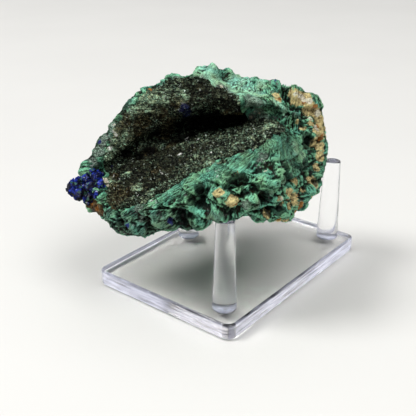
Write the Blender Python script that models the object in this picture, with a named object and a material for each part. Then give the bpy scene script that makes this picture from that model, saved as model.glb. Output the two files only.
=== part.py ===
"""A malachite stone with an azurite tip and a crystal-lined hollow, lying on a clear three-peg display stand.

The origin is the middle of the plate's underside, +Z is up, the plate's long side runs along X and the side
with two pegs faces -Y. The stone's own shape is worked out in millimetres in a frame of its own: along its
length, deep (away from the open side) and high (above the plate's top).
"""

import math

import bmesh
import bpy
import numpy as np
from mathutils import Euler, Vector

MM = 0.001
GAP = 0.3 * MM

# Stand
PLATE_LENGTH = 108.6 * MM
PLATE_WIDTH = 78.8 * MM
PLATE_THICK = 7.7 * MM
PLATE_CORNER = 3.2 * MM
PLATE_EDGE = 1.0 * MM
PEG_BASE_RADIUS = 5.4 * MM
PEG_TOP_RADIUS = 4.0 * MM
PEG_TALL = 41.5 * MM
PEG_EDGE = 0.5 * MM
PEG_SIDES = 24
PEG_END_INSET = 10.5 * MM
PEG_SIDE_INSET = 11.0 * MM

# Where the stone lies on the stand
STONE_TURN = math.radians(-51.4)
STONE_X = -26.5 * MM
STONE_Y = -5.7 * MM

# Guide lines that run the length of the stone, in the order in which a section meets them, each from the
# azurite end to the blunt end: (along, deep, high) in millimetres.
STONE_TIP = (-53.5, 4.0, 45.0)
STONE_BUTT = (56.0, 28.0, 52.0)
KEEL = [(-50, 1, 41.5), (-44, 1, 38.5), (-36, 3, 36.5), (-23, 6, 37), (-9, 8, 39), (5, 8, 40), (19, 8, 39.5)]
KEEL += [(33, 13, 38), (47, 20, 38), (51, 24, 38.5)]
FOOT = [(-50, -6, 39), (-44, -13, 34.5), (-35, -20, 31.5), (-22, -22, 33), (-8, -24, 34), (7, -27, 43.5)]
FOOT += [(19, -27, 41.5), (33, -17, 38), (47, 10, 36.5), (49.5, 12, 38.5)]
FACE = [(-47, -11, 43.5), (-41.5, -18.5, 38.5), (-32, -25, 40.5), (-19, -27, 45), (-6, -29, 50), (6, -30, 56)]
FACE += [(17, -29, 58), (29, -22, 58), (46, 4, 46), (50, 9, 43)]
RIM = [(-48, -8.5, 45.7), (-40.5, -15.5, 42.5), (-29.5, -19, 45.5), (-17.5, -21, 51), (-6.5, -21, 57.5), (5, -19, 64)]
RIM += [(16.5, -14, 67), (28.5, -6, 70), (44, 8, 51), (51, 12, 46)]
FLOOR = [(-48, -3, 46.5), (-39, -2, 47), (-30, 0, 50), (-20, 2, 52), (-8, 4, 57.5), (4.5, 6, 61), (17.5, 9, 64)]
FLOOR += [(30.5, 12, 68), (46, 14, 52), (52.5, 17, 49)]
CREASE = [(-48.5, 2, 47), (-41, 8, 48.5), (-32, 14, 53), (-22, 18, 55.5), (-9, 22, 59), (4, 24, 61.5)]
CREASE += [(17, 22, 65), (30.5, 20, 69), (46.5, 18, 55.5), (53.5, 22, 53)]
RECESS = [(-49.5, 5, 47.6), (-43, 14, 50.5), (-34.5, 22, 54), (-23.5, 30, 56), (-9.5, 38, 58.5), (4, 38, 61.5)]
RECESS += [(16.5, 34, 65.5), (30.5, 23, 70), (46, 20, 59.5), (54, 25, 57)]
VAULT = [(-50.3, 5.5, 49), (-43.3, 12.5, 53.8), (-34.8, 20.5, 58.5), (-23.8, 28, 62.5), (-9.8, 34.5, 66)]
VAULT += [(3, 33, 70.5), (17, 30, 73.5), (31.5, 23, 72.7), (45.8, 20.5, 63), (54, 26, 59.5)]
LIP = [(-51, 5.5, 50.3), (-43.5, 9, 56.5), (-35, 15, 62), (-24, 20, 67), (-9.8, 19, 74.5), (2.3, 18.5, 79)]
LIP += [(17, 18, 78), (32.5, 21, 75), (45.5, 22, 66), (54, 27, 62)]
BROW = [(-51.7, 7, 51.4), (-45, 10, 60), (-38, 15, 69.5), (-26, 20, 79), (-10, 24, 84.5), (2.5, 27, 85.5)]
BROW += [(19, 28, 80), (33.5, 28, 78), (46, 27, 71.5), (53, 30, 67)]
CREST = [(-52.5, 10, 51), (-47.5, 16, 61.5), (-40.5, 22, 71.5), (-27.5, 28, 81.5), (-11, 33, 87), (2.5, 36, 90)]
CREST += [(19, 36, 85), (33.5, 35, 82.5), (45, 34, 77), (52, 35, 70.5)]
BACK = [(-50, 13, 47), (-44, 20, 50), (-36, 31, 54), (-24, 42, 58), (-10, 50, 61), (5, 53, 62), (19, 53, 61)]
BACK += [(33, 51, 59), (46, 46, 57), (54, 42, 56)]
HEEL = [(-49, 8, 43), (-43, 14, 41.5), (-35, 24, 40), (-23, 36, 40.5), (-9, 45, 42), (5, 47, 42), (19, 47, 41)]
HEEL += [(33, 46, 40.5), (46, 43, 40.5), (56, 40, 41)]
GUIDES = [KEEL, FOOT, FACE, RIM, FLOOR, CREASE, RECESS, VAULT, LIP, BROW, CREST, BACK, HEEL]

# The stone's mesh, and the druse's part of it as fractions of the way along and around.
RINGS = 43
AROUND = 54
DRUSE_ALONG = (0.095, 0.735)
DRUSE_LOWER = 0.262
DRUSE_UPPER_LEFT = 0.605
DRUSE_UPPER_RIGHT = 0.508
DRUSE_STEP = (0.48, 0.60)
LIP_AROUND = 0.541
DRUSE_THICK = 1.5
DRUSE_EDGE = 0.8
DRUSE_GAP = 0.5
DRUSE_POINTS = (0.4, 0.8, 1.3)

# Pits and cracks, then ridges and knobs: (points on the stone's surface, half width, height), millimetres.
STROKES = [
    ([(-3, -28, 55), (-3, -31, 49)], 4.2, -5.0),
    ([(9, -30, 58), (15, -28, 60)], 2.8, -3.5),
    ([(7, -33, 49), (12, -33, 48)], 2.6, -2.2),
    ([(30, -17, 62), (33, -18, 55)], 3.0, -3.5),
    ([(21, -28, 46), (28, -25, 44)], 3.4, -3.0),
    ([(19, -29, 55), (24, -28, 49)], 2.8, -2.5),
    ([(36, 34, 83), (37, 29, 78), (40, 25, 73)], 4.0, -4.5),
    ([(-10, -28, 45), (-10, -27, 38)], 4.4, -3.6),
    ([(21.5, 20, 77), (22, 21, 71)], 3.2, 2.6),
    ([(-38, 19, 54), (-31, 14, 53), (-24, 18, 55)], 3.2, -2.6),
    ([(-37, -12, 44)], 6.0, -1.2),
    ([(43, 2, 49)], 4.0, -3.0),
    ([(45, 12, 53)], 6.0, -2.2),
    ([(31, -2, 69), (26, -14, 68), (28, -21, 63), (26, -27, 56)], 3.2, 3.0),
    ([(37, 3, 63), (42, 8, 57)], 5.0, 2.4),
    ([(4, -32, 48)], 4.6, 2.4),
    ([(11, -33, 46), (18, -30, 53)], 2.8, 2.6),
    ([(5, -31, 55)], 3.6, 2.6),
    ([(10, -32, 53)], 4.4, 3.0),
    ([(17, -29, 59), (22, -27, 58)], 5.0, 2.2),
    ([(-38, -22, 37)], 6.5, 2.6),
    ([(-29, -26, 37)], 6.0, 2.4),
    ([(-20, -27, 39)], 5.5, 2.4),
    ([(-33, -20, 44), (-17, -22, 52), (-7, -23, 58)], 4.0, 1.6),
    ([(-4, -23, 60), (3, -20, 64), (13, -16, 67), (27, -8, 70)], 4.0, 1.6),
    ([(50, 6, 45)], 5.0, 3.0),
    ([(43, 31, 78), (51, 31, 72)], 6.0, 1.2),
    ([(3, 34, 90)], 5.0, 1.0),
    ([(-50, -3, 37)], 5.0, 3.4),
    ([(25, 34, 85), (31, 34, 84)], 5.0, 1.4),
    ([(-30, 26, 79)], 7.0, 1.4),
]

# Azurite: rounded lumps (along, deep, high, radius) and the crystals on each.
AZURITE_LUMPS = [(-56.4, -1.5, 43.9, 4.7), (-50.5, -3.0, 48.4, 4.6), (-54.0, -4.5, 41.0, 4.3)]
CRYSTALS_PER_LUMP = 7
CRYSTAL_SIZE = (2.0, 2.5, 1.5)

MATERIALS = {
    "malachite_rock": ((0.08, 0.26, 0.17), 0.75, 0.0, 0.0),
    "hollow_crust": ((0.045, 0.055, 0.045), 0.45, 0.0, 0.0),
    "azurite_crystals": ((0.02, 0.025, 0.22), 0.35, 0.0, 0.0),
    "clear_acrylic": ((0.86, 0.87, 0.95), 0.04, 0.0, 1.0),
}


# ---------------------------------------------------------------- scene, materials and objects


def empty_scene():
    """Removes what the scene holds, so the script starts from nothing."""
    for obj in list(bpy.data.objects):
        bpy.data.objects.remove(obj, do_unlink=True)


def new_collection(name, hidden=False):
    collection = bpy.data.collections.new(name)
    bpy.context.scene.collection.children.link(collection)
    collection.hide_render = hidden
    return collection


def material(name):
    """A Principled material with the piece's plain colour, roughness, metallic and transmission."""
    if name in bpy.data.materials:
        return bpy.data.materials[name]
    colour, roughness, metallic, clear = MATERIALS[name]
    made = bpy.data.materials.new(name)
    made.use_nodes = True
    surface = made.node_tree.nodes["Principled BSDF"]
    surface.inputs["Base Color"].default_value = (*colour, 1.0)
    surface.inputs["Roughness"].default_value = roughness
    surface.inputs["Metallic"].default_value = metallic
    surface.inputs["Transmission Weight"].default_value = clear
    return made


def place(name, mesh, collection, look):
    obj = bpy.data.objects.new(name, mesh)
    collection.objects.link(obj)
    if look:
        mesh.materials.append(material(look))
    return obj


def lay_on_stand(obj):
    """Moves an object modelled in the stone's own frame to its place above the plate."""
    obj.location = (STONE_X, STONE_Y, PLATE_THICK)
    obj.rotation_euler = (0.0, 0.0, STONE_TURN)


# ---------------------------------------------------------------- noise


def lattice(cells, seed):
    """Fixed random numbers from 0 to 1, one for each whole-number cell."""
    mixed = cells[..., 0] * 374761393 + cells[..., 1] * 668265263 + cells[..., 2] * 1440662683 + seed * 97531
    mixed = mixed & 0xFFFFFFFF
    mixed = ((mixed ^ (mixed >> 13)) * 1274126177) & 0xFFFFFFFF
    return (mixed ^ (mixed >> 16)) / 4294967295.0


def smooth_noise(points, cell, seed):
    """Blended lattice noise from -1 to 1 with features about one cell across."""
    scaled = points / cell
    base = np.floor(scaled).astype(np.int64)
    part = scaled - base
    part = part * part * (3.0 - 2.0 * part)
    total = np.zeros(points.shape[:-1])
    for corner in np.ndindex(2, 2, 2):
        weight = np.prod(np.where(np.array(corner) == 1, part, 1.0 - part), axis=-1)
        total += weight * lattice(base + np.array(corner), seed)
    return total * 2.0 - 1.0


def knobs(points, cell, seed):
    """Rounded bumps around scattered centres: 1 on a centre, 0 in the seams between bumps."""
    scaled = points / cell
    base = np.floor(scaled).astype(np.int64)
    nearest = np.full(points.shape[:-1], 9.0)
    for step in np.ndindex(3, 3, 3):
        cells = base + np.array(step) - 1
        centre = cells + np.stack([lattice(cells, seed + k) for k in (11, 23, 37)], axis=-1)
        nearest = np.minimum(nearest, ((scaled - centre) ** 2).sum(-1))
    return np.clip(1.0 - nearest / 0.8, 0.0, 1.0)


def ease(low, high, value):
    """0 below low, 1 above high and a smooth step between."""
    part = np.clip((value - low) / (high - low), 0.0, 1.0)
    return part * part * (3.0 - 2.0 * part)


# ---------------------------------------------------------------- the stone's form


def knot_places(lines, closed):
    """Mean distances along rows of points (lines x points x 3), as fractions of the whole."""
    onward = np.roll(lines, -1, axis=1) if closed else lines[:, 1:]
    start = lines if closed else lines[:, :-1]
    places = np.concatenate([[0.0], np.cumsum(np.linalg.norm(onward - start, axis=2).mean(0))])
    return places / places[-1]


def curve_through(places, values, at, closed):
    """A smooth cubic curve through values set at places, read at the fractions in at."""
    if closed:
        ring = np.concatenate([values[-1:], values, values[:2]])
        marks = np.concatenate([[places[-2] - 1.0], places, [1.0 + places[1]]])
        slopes = (ring[2:] - ring[:-2]) / (marks[2:] - marks[:-2])[:, None, None]
        values = ring[1:-1]
    else:
        slopes = np.gradient(values, axis=0)
        slopes[1:-1] = (values[2:] - values[:-2]) / (places[2:] - places[:-2])[:, None, None]
        slopes[0] = (values[1] - values[0]) / (places[1] - places[0])
        slopes[-1] = (values[-1] - values[-2]) / (places[-1] - places[-2])
    i = np.clip(np.searchsorted(places, at, side="right") - 1, 0, len(places) - 2)
    span = (places[i + 1] - places[i])[:, None, None]
    u = ((at - places[i])[:, None, None]) / span
    start = (2 * u**3 - 3 * u**2 + 1) * values[i] + (u**3 - 2 * u**2 + u) * span * slopes[i]
    end = (3 * u**2 - 2 * u**3) * values[i + 1] + (u**3 - u**2) * span * slopes[i + 1]
    return start + end


def stone_lines():
    return np.array([[STONE_TIP, *guide, STONE_BUTT] for guide in GUIDES], dtype=float)


def smooth_stone(along, around):
    """Points of the smooth stone, a loft through the guide lines (along x around x 3)."""
    lines = stone_lines()
    rows = curve_through(knot_places(lines, False), lines.transpose(1, 0, 2), along, False)
    ring = knot_places(lines.transpose(1, 0, 2)[1:-1], True)
    return curve_through(ring, rows.transpose(1, 0, 2), around % 1.0, True).transpose(1, 0, 2)


def outward(along, around):
    """Unit normals of the smooth stone, from small steps both ways."""
    step = 0.004
    ahead = smooth_stone(np.clip(along + step, 0, 1), around) - smooth_stone(np.clip(along - step, 0, 1), around)
    aside = smooth_stone(along, around + step) - smooth_stone(along, around - step)
    normal = np.cross(ahead, aside)
    return normal / np.maximum(np.linalg.norm(normal, axis=-1, keepdims=True), 1e-9)


def hollow_weight(along, around):
    """1 inside the hollow between the rim and the brow, 0 on the outside of the stone."""
    low = ease(0.27, 0.30, around) * (1.0 - ease(0.585, 0.625, around))
    return ease(0.04, 0.09, along)[:, None] * (1.0 - ease(0.70, 0.78, along))[:, None] * low[None, :]


def stroke_relief(points):
    """The heights of all pits and ridges at the points, each fading with distance from its line."""
    total = np.zeros(points.shape[:-1])
    for line, half_width, height in STROKES:
        ends = [np.array(p, dtype=float) for p in line]
        if len(ends) == 1:
            ends.append(ends[0] + 0.01)
        nearest = np.full(points.shape[:-1], 1e9)
        for start, end in zip(ends[:-1], ends[1:], strict=True):
            run = end - start
            part = np.clip(((points - start) @ run) / (run @ run), 0.0, 1.0)
            nearest = np.minimum(nearest, np.linalg.norm(points - start - part[..., None] * run, axis=-1))
        total += height * (1.0 - ease(0.15, 1.25, nearest / half_width))
    return total


def coarse_relief(points, hollow):
    """How far the surface stands out from the smooth stone: knobs, folds and ledges, calmer in the hollow."""
    outside = 2.4 * (knobs(points, 12.0, 1) - 0.45) + 1.5 * (knobs(points, 6.0, 2) - 0.4)
    outside += 1.3 * smooth_noise(points, 17.0, 3)
    slope = points[..., 2] / 8.5 + points[..., 0] / 26.0 + 0.7 * smooth_noise(points, 20.0, 4)
    outside += 1.5 * (0.5 - (slope - np.floor(slope)) ** 2) - 1.0
    inside = 1.2 * smooth_noise(points, 10.0, 5) + 0.9 * (knobs(points, 5.0, 6) - 0.4)
    return outside * (1.0 - hollow) + inside * hollow


def peg_centres():
    """Peg axes in the stand's frame, by name."""
    x = PLATE_LENGTH / 2 - PEG_END_INSET
    y = PLATE_WIDTH / 2 - PEG_SIDE_INSET
    return {"front_left_peg": (-x, -y), "front_right_peg": (x, -y), "back_peg": (0.0, y)}


def rest_on_pegs(points):
    """Flattens the two bearing spots over the low pegs and keeps the end clear of the third peg's side."""
    points = points.copy()
    turn = np.array([[math.cos(STONE_TURN), -math.sin(STONE_TURN)], [math.sin(STONE_TURN), math.cos(STONE_TURN)]])
    top = (PEG_TALL + 2 * GAP) / MM
    for name, centre in peg_centres().items():
        local = (np.array(centre) - (STONE_X, STONE_Y)) @ turn / MM
        away = points[..., :2] - local
        distance = np.linalg.norm(away, axis=-1)
        if name == "front_right_peg":
            width = np.interp(points[..., 2], [0, PEG_TALL / MM], [PEG_BASE_RADIUS / MM, PEG_TOP_RADIUS / MM])
            clear = np.where(points[..., 2] < top + 1.0, width + 0.45, 0.0)
            push = np.maximum(clear - distance, 0.0)[..., None]
            points[..., :2] += away / np.maximum(distance, 1e-6)[..., None] * push
        else:
            weight = (1.0 - ease(7.0, 10.5, distance)) * (1.0 - ease(top + 3.0, top + 8.0, points[..., 2]))
            points[..., 2] += weight * (top - points[..., 2])
    return points


def stone_skin(along, around, sink):
    """The stone's surface with its relief, lowered by sink, all as grids (along x around)."""
    smooth = smooth_stone(along, around)
    hollow = hollow_weight(along, around)
    relief = coarse_relief(smooth, hollow) + stroke_relief(smooth)
    ends = ease(0.0, 0.16, along) * (1.0 - ease(0.86, 1.0, along))
    calm = 1.0 - 0.7 * (1.0 - ease(0.0, 0.04, abs(around - LIP_AROUND)))
    return rest_on_pegs(smooth + outward(along, around) * (relief * ends[:, None] * calm - sink)[..., None])


# ---------------------------------------------------------------- the druse's place on the stone


def druse_rows(along, around):
    """First and last grid lines of the druse on each ring that it covers: {ring: (low, high)}."""
    rows = {}
    covered = [i for i, a in enumerate(along) if DRUSE_ALONG[0] <= a <= DRUSE_ALONG[1]]
    for count, i in enumerate(covered):
        share = float(ease(*DRUSE_STEP, along[i]))
        upper = DRUSE_UPPER_LEFT + (DRUSE_UPPER_RIGHT - DRUSE_UPPER_LEFT) * share
        taper = max(0, 2 - count, 2 - (len(covered) - 1 - count))
        low = int(np.searchsorted(around, DRUSE_LOWER)) + taper
        high = int(np.searchsorted(around, upper)) - taper
        rows[i] = (low, high)
    return rows


def druse_sink(along, around):
    """How far the stone's surface lies under its own line: the druse's thickness and gap where it is covered."""
    rows = druse_rows(along, around)
    sink = np.zeros((len(along), len(around)))
    for i, (low, high) in rows.items():
        sink[i, low : high + 1] = DRUSE_EDGE + DRUSE_GAP
    inner = np.zeros_like(sink, dtype=bool)
    covered = sink > 0
    inner[1:-1, 1:-1] = covered[1:-1, 1:-1] & covered[2:, 1:-1] & covered[:-2, 1:-1]
    inner[1:-1, 1:-1] &= covered[1:-1, 2:] & covered[1:-1, :-2]
    sink[inner] = DRUSE_THICK + DRUSE_GAP
    return sink


# ---------------------------------------------------------------- meshes


def stone_mesh(along, around, sink):
    """A closed loft: rings around the stone with a fan of faces at each end, each cell cut the same way."""
    skin = stone_skin(along[1:-1], around, sink[1:-1])
    rings, sides = skin.shape[:2]
    points = [*skin.reshape(-1, 3) * MM, np.array(STONE_TIP) * MM, np.array(STONE_BUTT) * MM]
    tip, butt = rings * sides, rings * sides + 1
    faces = []
    for j in range(sides):
        k = (j + 1) % sides
        faces.append((tip, j, k))
        faces.append((butt, (rings - 1) * sides + k, (rings - 1) * sides + j))
        for i in range(rings - 1):
            here, ahead, beyond, beside = i * sides + j, (i + 1) * sides + j, (i + 1) * sides + k, i * sides + k
            faces += [(here, ahead, beyond), (here, beyond, beside)]
    mesh = bpy.data.meshes.new("malachite_rock")
    mesh.from_pydata(points, [], faces)
    return mesh


def druse_mesh(along, around, sink):
    """The druse: an outer and an inner sheet over its part of the stone's grid, joined round their edge."""
    rows = druse_rows(along, around)
    outer = stone_skin(along, around, np.zeros_like(sink))
    inner = stone_skin(along, around, np.maximum(sink - DRUSE_GAP, 0.0))
    cells = []
    rings = sorted(rows)
    for i, k in zip(rings[:-1], rings[1:], strict=True):
        low, high = max(rows[i][0], rows[k][0]), min(rows[i][1], rows[k][1])
        cells += [(i, j) for j in range(low, high)]
    build = bmesh.new()
    tops, bottoms = {}, {}
    for i, j in cells:
        for corner in ((i, j), (i + 1, j), (i + 1, j + 1), (i, j + 1)):
            if corner not in tops:
                tops[corner] = build.verts.new(outer[corner] * MM)
                bottoms[corner] = build.verts.new(inner[corner] * MM)
    caps = []
    edges = {}
    for i, j in cells:
        ring = ((i, j), (i + 1, j), (i + 1, j + 1), (i, j + 1))
        caps.append(build.faces.new([tops[c] for c in ring]))
        here, ahead, beyond, beside = (bottoms[c] for c in ring)
        build.faces.new([beyond, ahead, here])
        build.faces.new([beside, beyond, here])
        for a, b in zip(ring, ring[1:] + ring[:1], strict=True):
            edges[(a, b)] = True
    for a, b in edges:
        if (b, a) not in edges:
            build.faces.new([bottoms[a], bottoms[b], tops[b], tops[a]])
    chance = np.random.default_rng(7).integers(0, len(DRUSE_POINTS), len(caps))
    for group, height in enumerate(DRUSE_POINTS):
        bmesh.ops.poke(build, faces=[f for f, g in zip(caps, chance, strict=True) if g == group], offset=height * MM)
    mesh = bpy.data.meshes.new("hollow_crust")
    build.to_mesh(mesh)
    build.free()
    return mesh


def crystal_mesh(name, size, chance):
    """One blocky crystal: a cube stretched to size, its edges cut by flat bevels and its ends turned a little."""
    build = bmesh.new()
    bmesh.ops.create_cube(build, size=1.0)
    bmesh.ops.bevel(build, geom=build.edges[:], offset=chance.uniform(0.14, 0.24), segments=1, affect="EDGES")
    for vert in build.verts:
        vert.co = Vector(vert.co[k] * 2.0 * size[k] * MM for k in range(3))
        vert.co.x += 0.25 * vert.co.z
    mesh = bpy.data.meshes.new(name)
    build.to_mesh(mesh)
    build.free()
    return mesh


def azurite(collection, cutters, rock):
    """The azurite: three lumps joined with their crystals, and cut back to fit against the rock."""
    chance = np.random.default_rng(31)
    joined = bpy.data.collections.new("azurite_pieces")
    cutters.children.link(joined)
    base = None
    for number, (along, deep, high, radius) in enumerate(AZURITE_LUMPS):
        build = bmesh.new()
        bmesh.ops.create_icosphere(build, subdivisions=2, radius=radius * MM)
        for vert in build.verts:
            vert.co *= 1.0 + 0.09 * math.sin(11.0 * vert.co.x / MM + 5.0 * vert.co.z / MM + number)
        lump = bpy.data.meshes.new("azurite_crystals" if number == 0 else f"azurite_lump_{number}")
        build.to_mesh(lump)
        build.free()
        where = collection if number == 0 else joined
        body = place(lump.name, lump, where, "azurite_crystals")
        lump.transform(Euler((0.3 * number, 0.5, 0.2)).to_matrix().to_4x4())
        for vert in lump.vertices:
            vert.co += Vector((along, deep, high)) * MM
        lay_on_stand(body)
        base = base or body
        for k in range(CRYSTALS_PER_LUMP):
            size = [s * chance.uniform(0.75, 1.2) * radius / 4.2 for s in CRYSTAL_SIZE]
            mesh = crystal_mesh(f"azurite_piece_{number}_{k}", size, chance)
            height = 1.0 - 2.0 * (k + 0.5) / CRYSTALS_PER_LUMP
            turn = 2.4 * k + chance.uniform(-0.3, 0.3)
            flat = math.sqrt(1.0 - height * height)
            way = Vector((flat * math.cos(turn), flat * math.sin(turn), height))
            spot = Vector((along, deep, high)) + way * radius * 0.66
            facing = way.to_track_quat("Y", "Z").to_matrix().to_4x4()
            mesh.transform(facing)
            for vert in mesh.vertices:
                vert.co += spot * MM
            lay_on_stand(place(mesh.name, mesh, joined, ""))
    union = base.modifiers.new("Crystals joined", "BOOLEAN")
    union.operation = "UNION"
    union.operand_type = "COLLECTION"
    union.collection = joined
    union.solver = "EXACT"
    fit = base.modifiers.new("Rock cut away", "BOOLEAN")
    fit.operation = "DIFFERENCE"
    fit.object = rock
    fit.solver = "EXACT"
    return base


def stand_plate(collection):
    """The stand's plate: a box with rounded corners and softly rounded edges."""
    build = bmesh.new()
    bmesh.ops.create_cube(build, size=1.0)
    for vert in build.verts:
        vert.co = Vector((vert.co.x * PLATE_LENGTH, vert.co.y * PLATE_WIDTH, (vert.co.z + 0.5) * PLATE_THICK))
    upright = [e for e in build.edges if abs(e.verts[0].co.z - e.verts[1].co.z) > PLATE_THICK / 2]
    bmesh.ops.bevel(build, geom=upright, offset=PLATE_CORNER, segments=6, profile=0.5, affect="EDGES")
    flat = [f for f in build.faces if abs(f.normal.z) > 0.9]
    border = list({e for f in flat for e in f.edges})
    bmesh.ops.bevel(build, geom=border, offset=PLATE_EDGE, segments=2, profile=0.5, affect="EDGES")
    mesh = bpy.data.meshes.new("stand_base")
    build.to_mesh(mesh)
    build.free()
    return place("stand_base", mesh, collection, "clear_acrylic")


def peg(name, collection):
    """A tapered round peg standing on the plate, with its top edge softened."""
    build = bmesh.new()
    bmesh.ops.create_cone(
        build,
        cap_ends=True,
        segments=PEG_SIDES,
        radius1=PEG_BASE_RADIUS,
        radius2=PEG_TOP_RADIUS,
        depth=PEG_TALL,
    )
    rim = [e for e in build.edges if min(v.co.z for v in e.verts) > PEG_TALL / 2 - 1e-6]
    bmesh.ops.bevel(build, geom=rim, offset=PEG_EDGE, segments=2, profile=0.5, affect="EDGES")
    mesh = bpy.data.meshes.new(name)
    build.to_mesh(mesh)
    build.free()
    obj = place(name, mesh, collection, "clear_acrylic")
    x, y = peg_centres()[name]
    obj.location = (x, y, PLATE_THICK + GAP + PEG_TALL / 2)
    return obj


def swollen_rock(cutters, mesh):
    """A copy of the rock grown by the gap, which cuts the azurite to fit."""
    grown = mesh.copy()
    grown.name = "rock_cutter"
    normals = [vert.normal.copy() for vert in grown.vertices]
    for vert, normal in zip(grown.vertices, normals, strict=True):
        vert.co += normal * GAP * 1.3
    obj = place("rock_cutter", grown, cutters, "")
    obj.display_type = "WIRE"
    lay_on_stand(obj)
    return obj


def main():
    empty_scene()
    parts = new_collection("azurite_specimen")
    cutters = new_collection("cutters", hidden=True)
    along = np.linspace(0.0, 1.0, RINGS + 2)
    around = np.arange(AROUND) / AROUND
    sink = druse_sink(along, around)
    rock = place("malachite_rock", stone_mesh(along, around, sink), parts, "malachite_rock")
    lay_on_stand(rock)
    lay_on_stand(place("hollow_crust", druse_mesh(along, around, sink), parts, "hollow_crust"))
    azurite(parts, cutters, swollen_rock(cutters, rock.data))
    stand_plate(parts)
    for name in peg_centres():
        peg(name, parts)
    for obj in cutters.all_objects:
        obj.display_type = "WIRE"


main()
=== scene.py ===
"""A malachite stone with an azurite tip and a crystal-lined hollow, on a clear three-peg display stand.

The file is laid out as an add-on and runs as a script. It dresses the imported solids, in metres and in their
frame. Every piece is worked out with numpy: surfaces over a grid of two parameters, and small crystals that
repeat one shape. The stone's own shape is worked out in millimetres in a frame of its own: along its length,
deep (away from the open side) and high (above the plate's top). A noise's last number is its seed.
"""

import math

import bpy
import numpy as np
from bpy.props import FloatProperty, FloatVectorProperty, IntProperty, PointerProperty
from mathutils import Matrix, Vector


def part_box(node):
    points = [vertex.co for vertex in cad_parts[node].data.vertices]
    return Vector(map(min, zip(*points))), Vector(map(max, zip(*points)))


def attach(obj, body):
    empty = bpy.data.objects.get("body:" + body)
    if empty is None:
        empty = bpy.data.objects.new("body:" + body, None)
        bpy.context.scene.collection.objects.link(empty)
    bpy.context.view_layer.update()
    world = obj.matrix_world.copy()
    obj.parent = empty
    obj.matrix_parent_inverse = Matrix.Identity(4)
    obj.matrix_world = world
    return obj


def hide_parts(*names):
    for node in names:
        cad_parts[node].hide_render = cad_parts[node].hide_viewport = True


bl_info = {
    "name": "Azurite Specimen",
    "version": (1, 0, 0),
    "blender": (4, 5, 0),
    "location": "3D View > Sidebar > Specimen",
    "description": "Builds a malachite stone with an azurite tip on a clear three-peg stand",
    "category": "Add Mesh",
}

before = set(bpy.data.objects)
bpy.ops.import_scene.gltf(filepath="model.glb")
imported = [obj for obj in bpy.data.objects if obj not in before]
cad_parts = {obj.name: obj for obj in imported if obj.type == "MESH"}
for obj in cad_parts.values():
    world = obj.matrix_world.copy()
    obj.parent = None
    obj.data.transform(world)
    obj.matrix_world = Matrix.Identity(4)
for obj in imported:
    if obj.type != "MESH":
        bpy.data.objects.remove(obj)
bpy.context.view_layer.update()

MM = 0.001
BODY = "root"

# Where the stone lies on the stand and how far it keeps off the pegs, in millimetres.
STONE_TURN = math.radians(-51.4)
STONE_X = -26.5
STONE_Y = -5.7
BEARING_GAP = 0.3
SIDE_GAP = 0.45

# The stand: its pegs, the one that the stone leans beside, its sizes in millimetres, and the numbers of
# points on its arcs and on a peg's shaft, and of sides on a peg and a cement disc.
PEGS = ("front_left_peg", "front_right_peg", "back_peg")
LEANING_PEG = "front_right_peg"
PLATE_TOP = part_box("stand_base")[1].z / MM
CORNER_STEPS = 13
EDGE_STEPS = 9
PEG_FOOT_RADIUS = 5.4
PEG_TOP_RADIUS = 4.0
PEG_FOOT_ROUND = 0.35
PEG_HEAD_ROUND = 0.6
PEG_ROUND_STEPS = 7
PEG_SHAFT_STEPS = 12
PEG_SIDES = 96
CEMENT_INSET = 0.7
CEMENT_LEVELS = (0.10, 0.22)
CEMENT_SIDES = 48

# The stage, in metres, with the camera's lens and sensor in millimetres.
FLOOR_REACH = 3.0
FLOOR_LEVEL = -0.25 * MM
KEY_LIGHT_PLACE = (-1.3, 1.3, 2.4)
KEY_LIGHT_SIZE = 1.0
FILL_LIGHT_PLACE = (-0.3, -1.5, 2.4)
FILL_LIGHT_SIZE = 1.4
LIGHT_AIM = (0.0, 0.0, 0.04)
LIGHT_TINT = (1.0, 0.995, 0.98)
CAMERA_PLACE = (-0.2457, -0.1807, 0.1690)
CAMERA_FACING = (0.7120, 0.5686, -0.4120)
CAMERA_LENS = 59.82
SENSOR_WIDTH = 36.0

# Guide lines that run the length of the stone, in the order in which a section meets them, each from its
# azurite end to its blunt end: (along, deep, high) in millimetres.
STONE_TIP = (-53.5, 4.0, 45.0)
STONE_BUTT = (56.0, 28.0, 52.0)
KEEL = [
    (-50, 1, 41.5), (-44, 1, 38.5), (-36, 3, 36.5), (-23, 6, 37), (-9, 8, 39), (5, 8, 40), (19, 8, 39.5),
    (33, 13, 38), (47, 20, 38), (51, 24, 38.5),
]
FOOT = [
    (-50, -6, 39), (-44, -13, 34.5), (-35, -20, 31.5), (-22, -22, 33), (-8, -24, 34), (7, -27, 43.5),
    (19, -27, 41.5), (33, -17, 38), (47, 10, 36.5), (49.5, 12, 38.5),
]
FACE = [
    (-47, -11, 43.5), (-41.5, -18.5, 38.5), (-32, -25, 40.5), (-19, -27, 45), (-6, -29, 50), (6, -30, 56),
    (17, -29, 58), (29, -22, 58), (46, 4, 46), (50, 9, 43),
]
RIM = [
    (-48, -8.5, 45.7), (-40.5, -15.5, 42.5), (-29.5, -19, 45.5), (-17.5, -21, 51), (-6.5, -21, 57.5),
    (5, -19, 64), (16.5, -14, 67), (28.5, -6, 70), (44, 8, 51), (51, 12, 46),
]
FLOOR = [
    (-48, -3, 46.5), (-39, -2, 47), (-30, 0, 50), (-20, 2, 52), (-8, 4, 57.5), (4.5, 6, 61), (17.5, 9, 64),
    (30.5, 12, 68), (46, 14, 52), (52.5, 17, 49),
]
CREASE = [
    (-48.5, 2, 47), (-41, 8, 48.5), (-32, 14, 53), (-22, 18, 55.5), (-9, 22, 59), (4, 24, 61.5),
    (17, 22, 65), (30.5, 20, 69), (46.5, 18, 55.5), (53.5, 22, 53),
]
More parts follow.
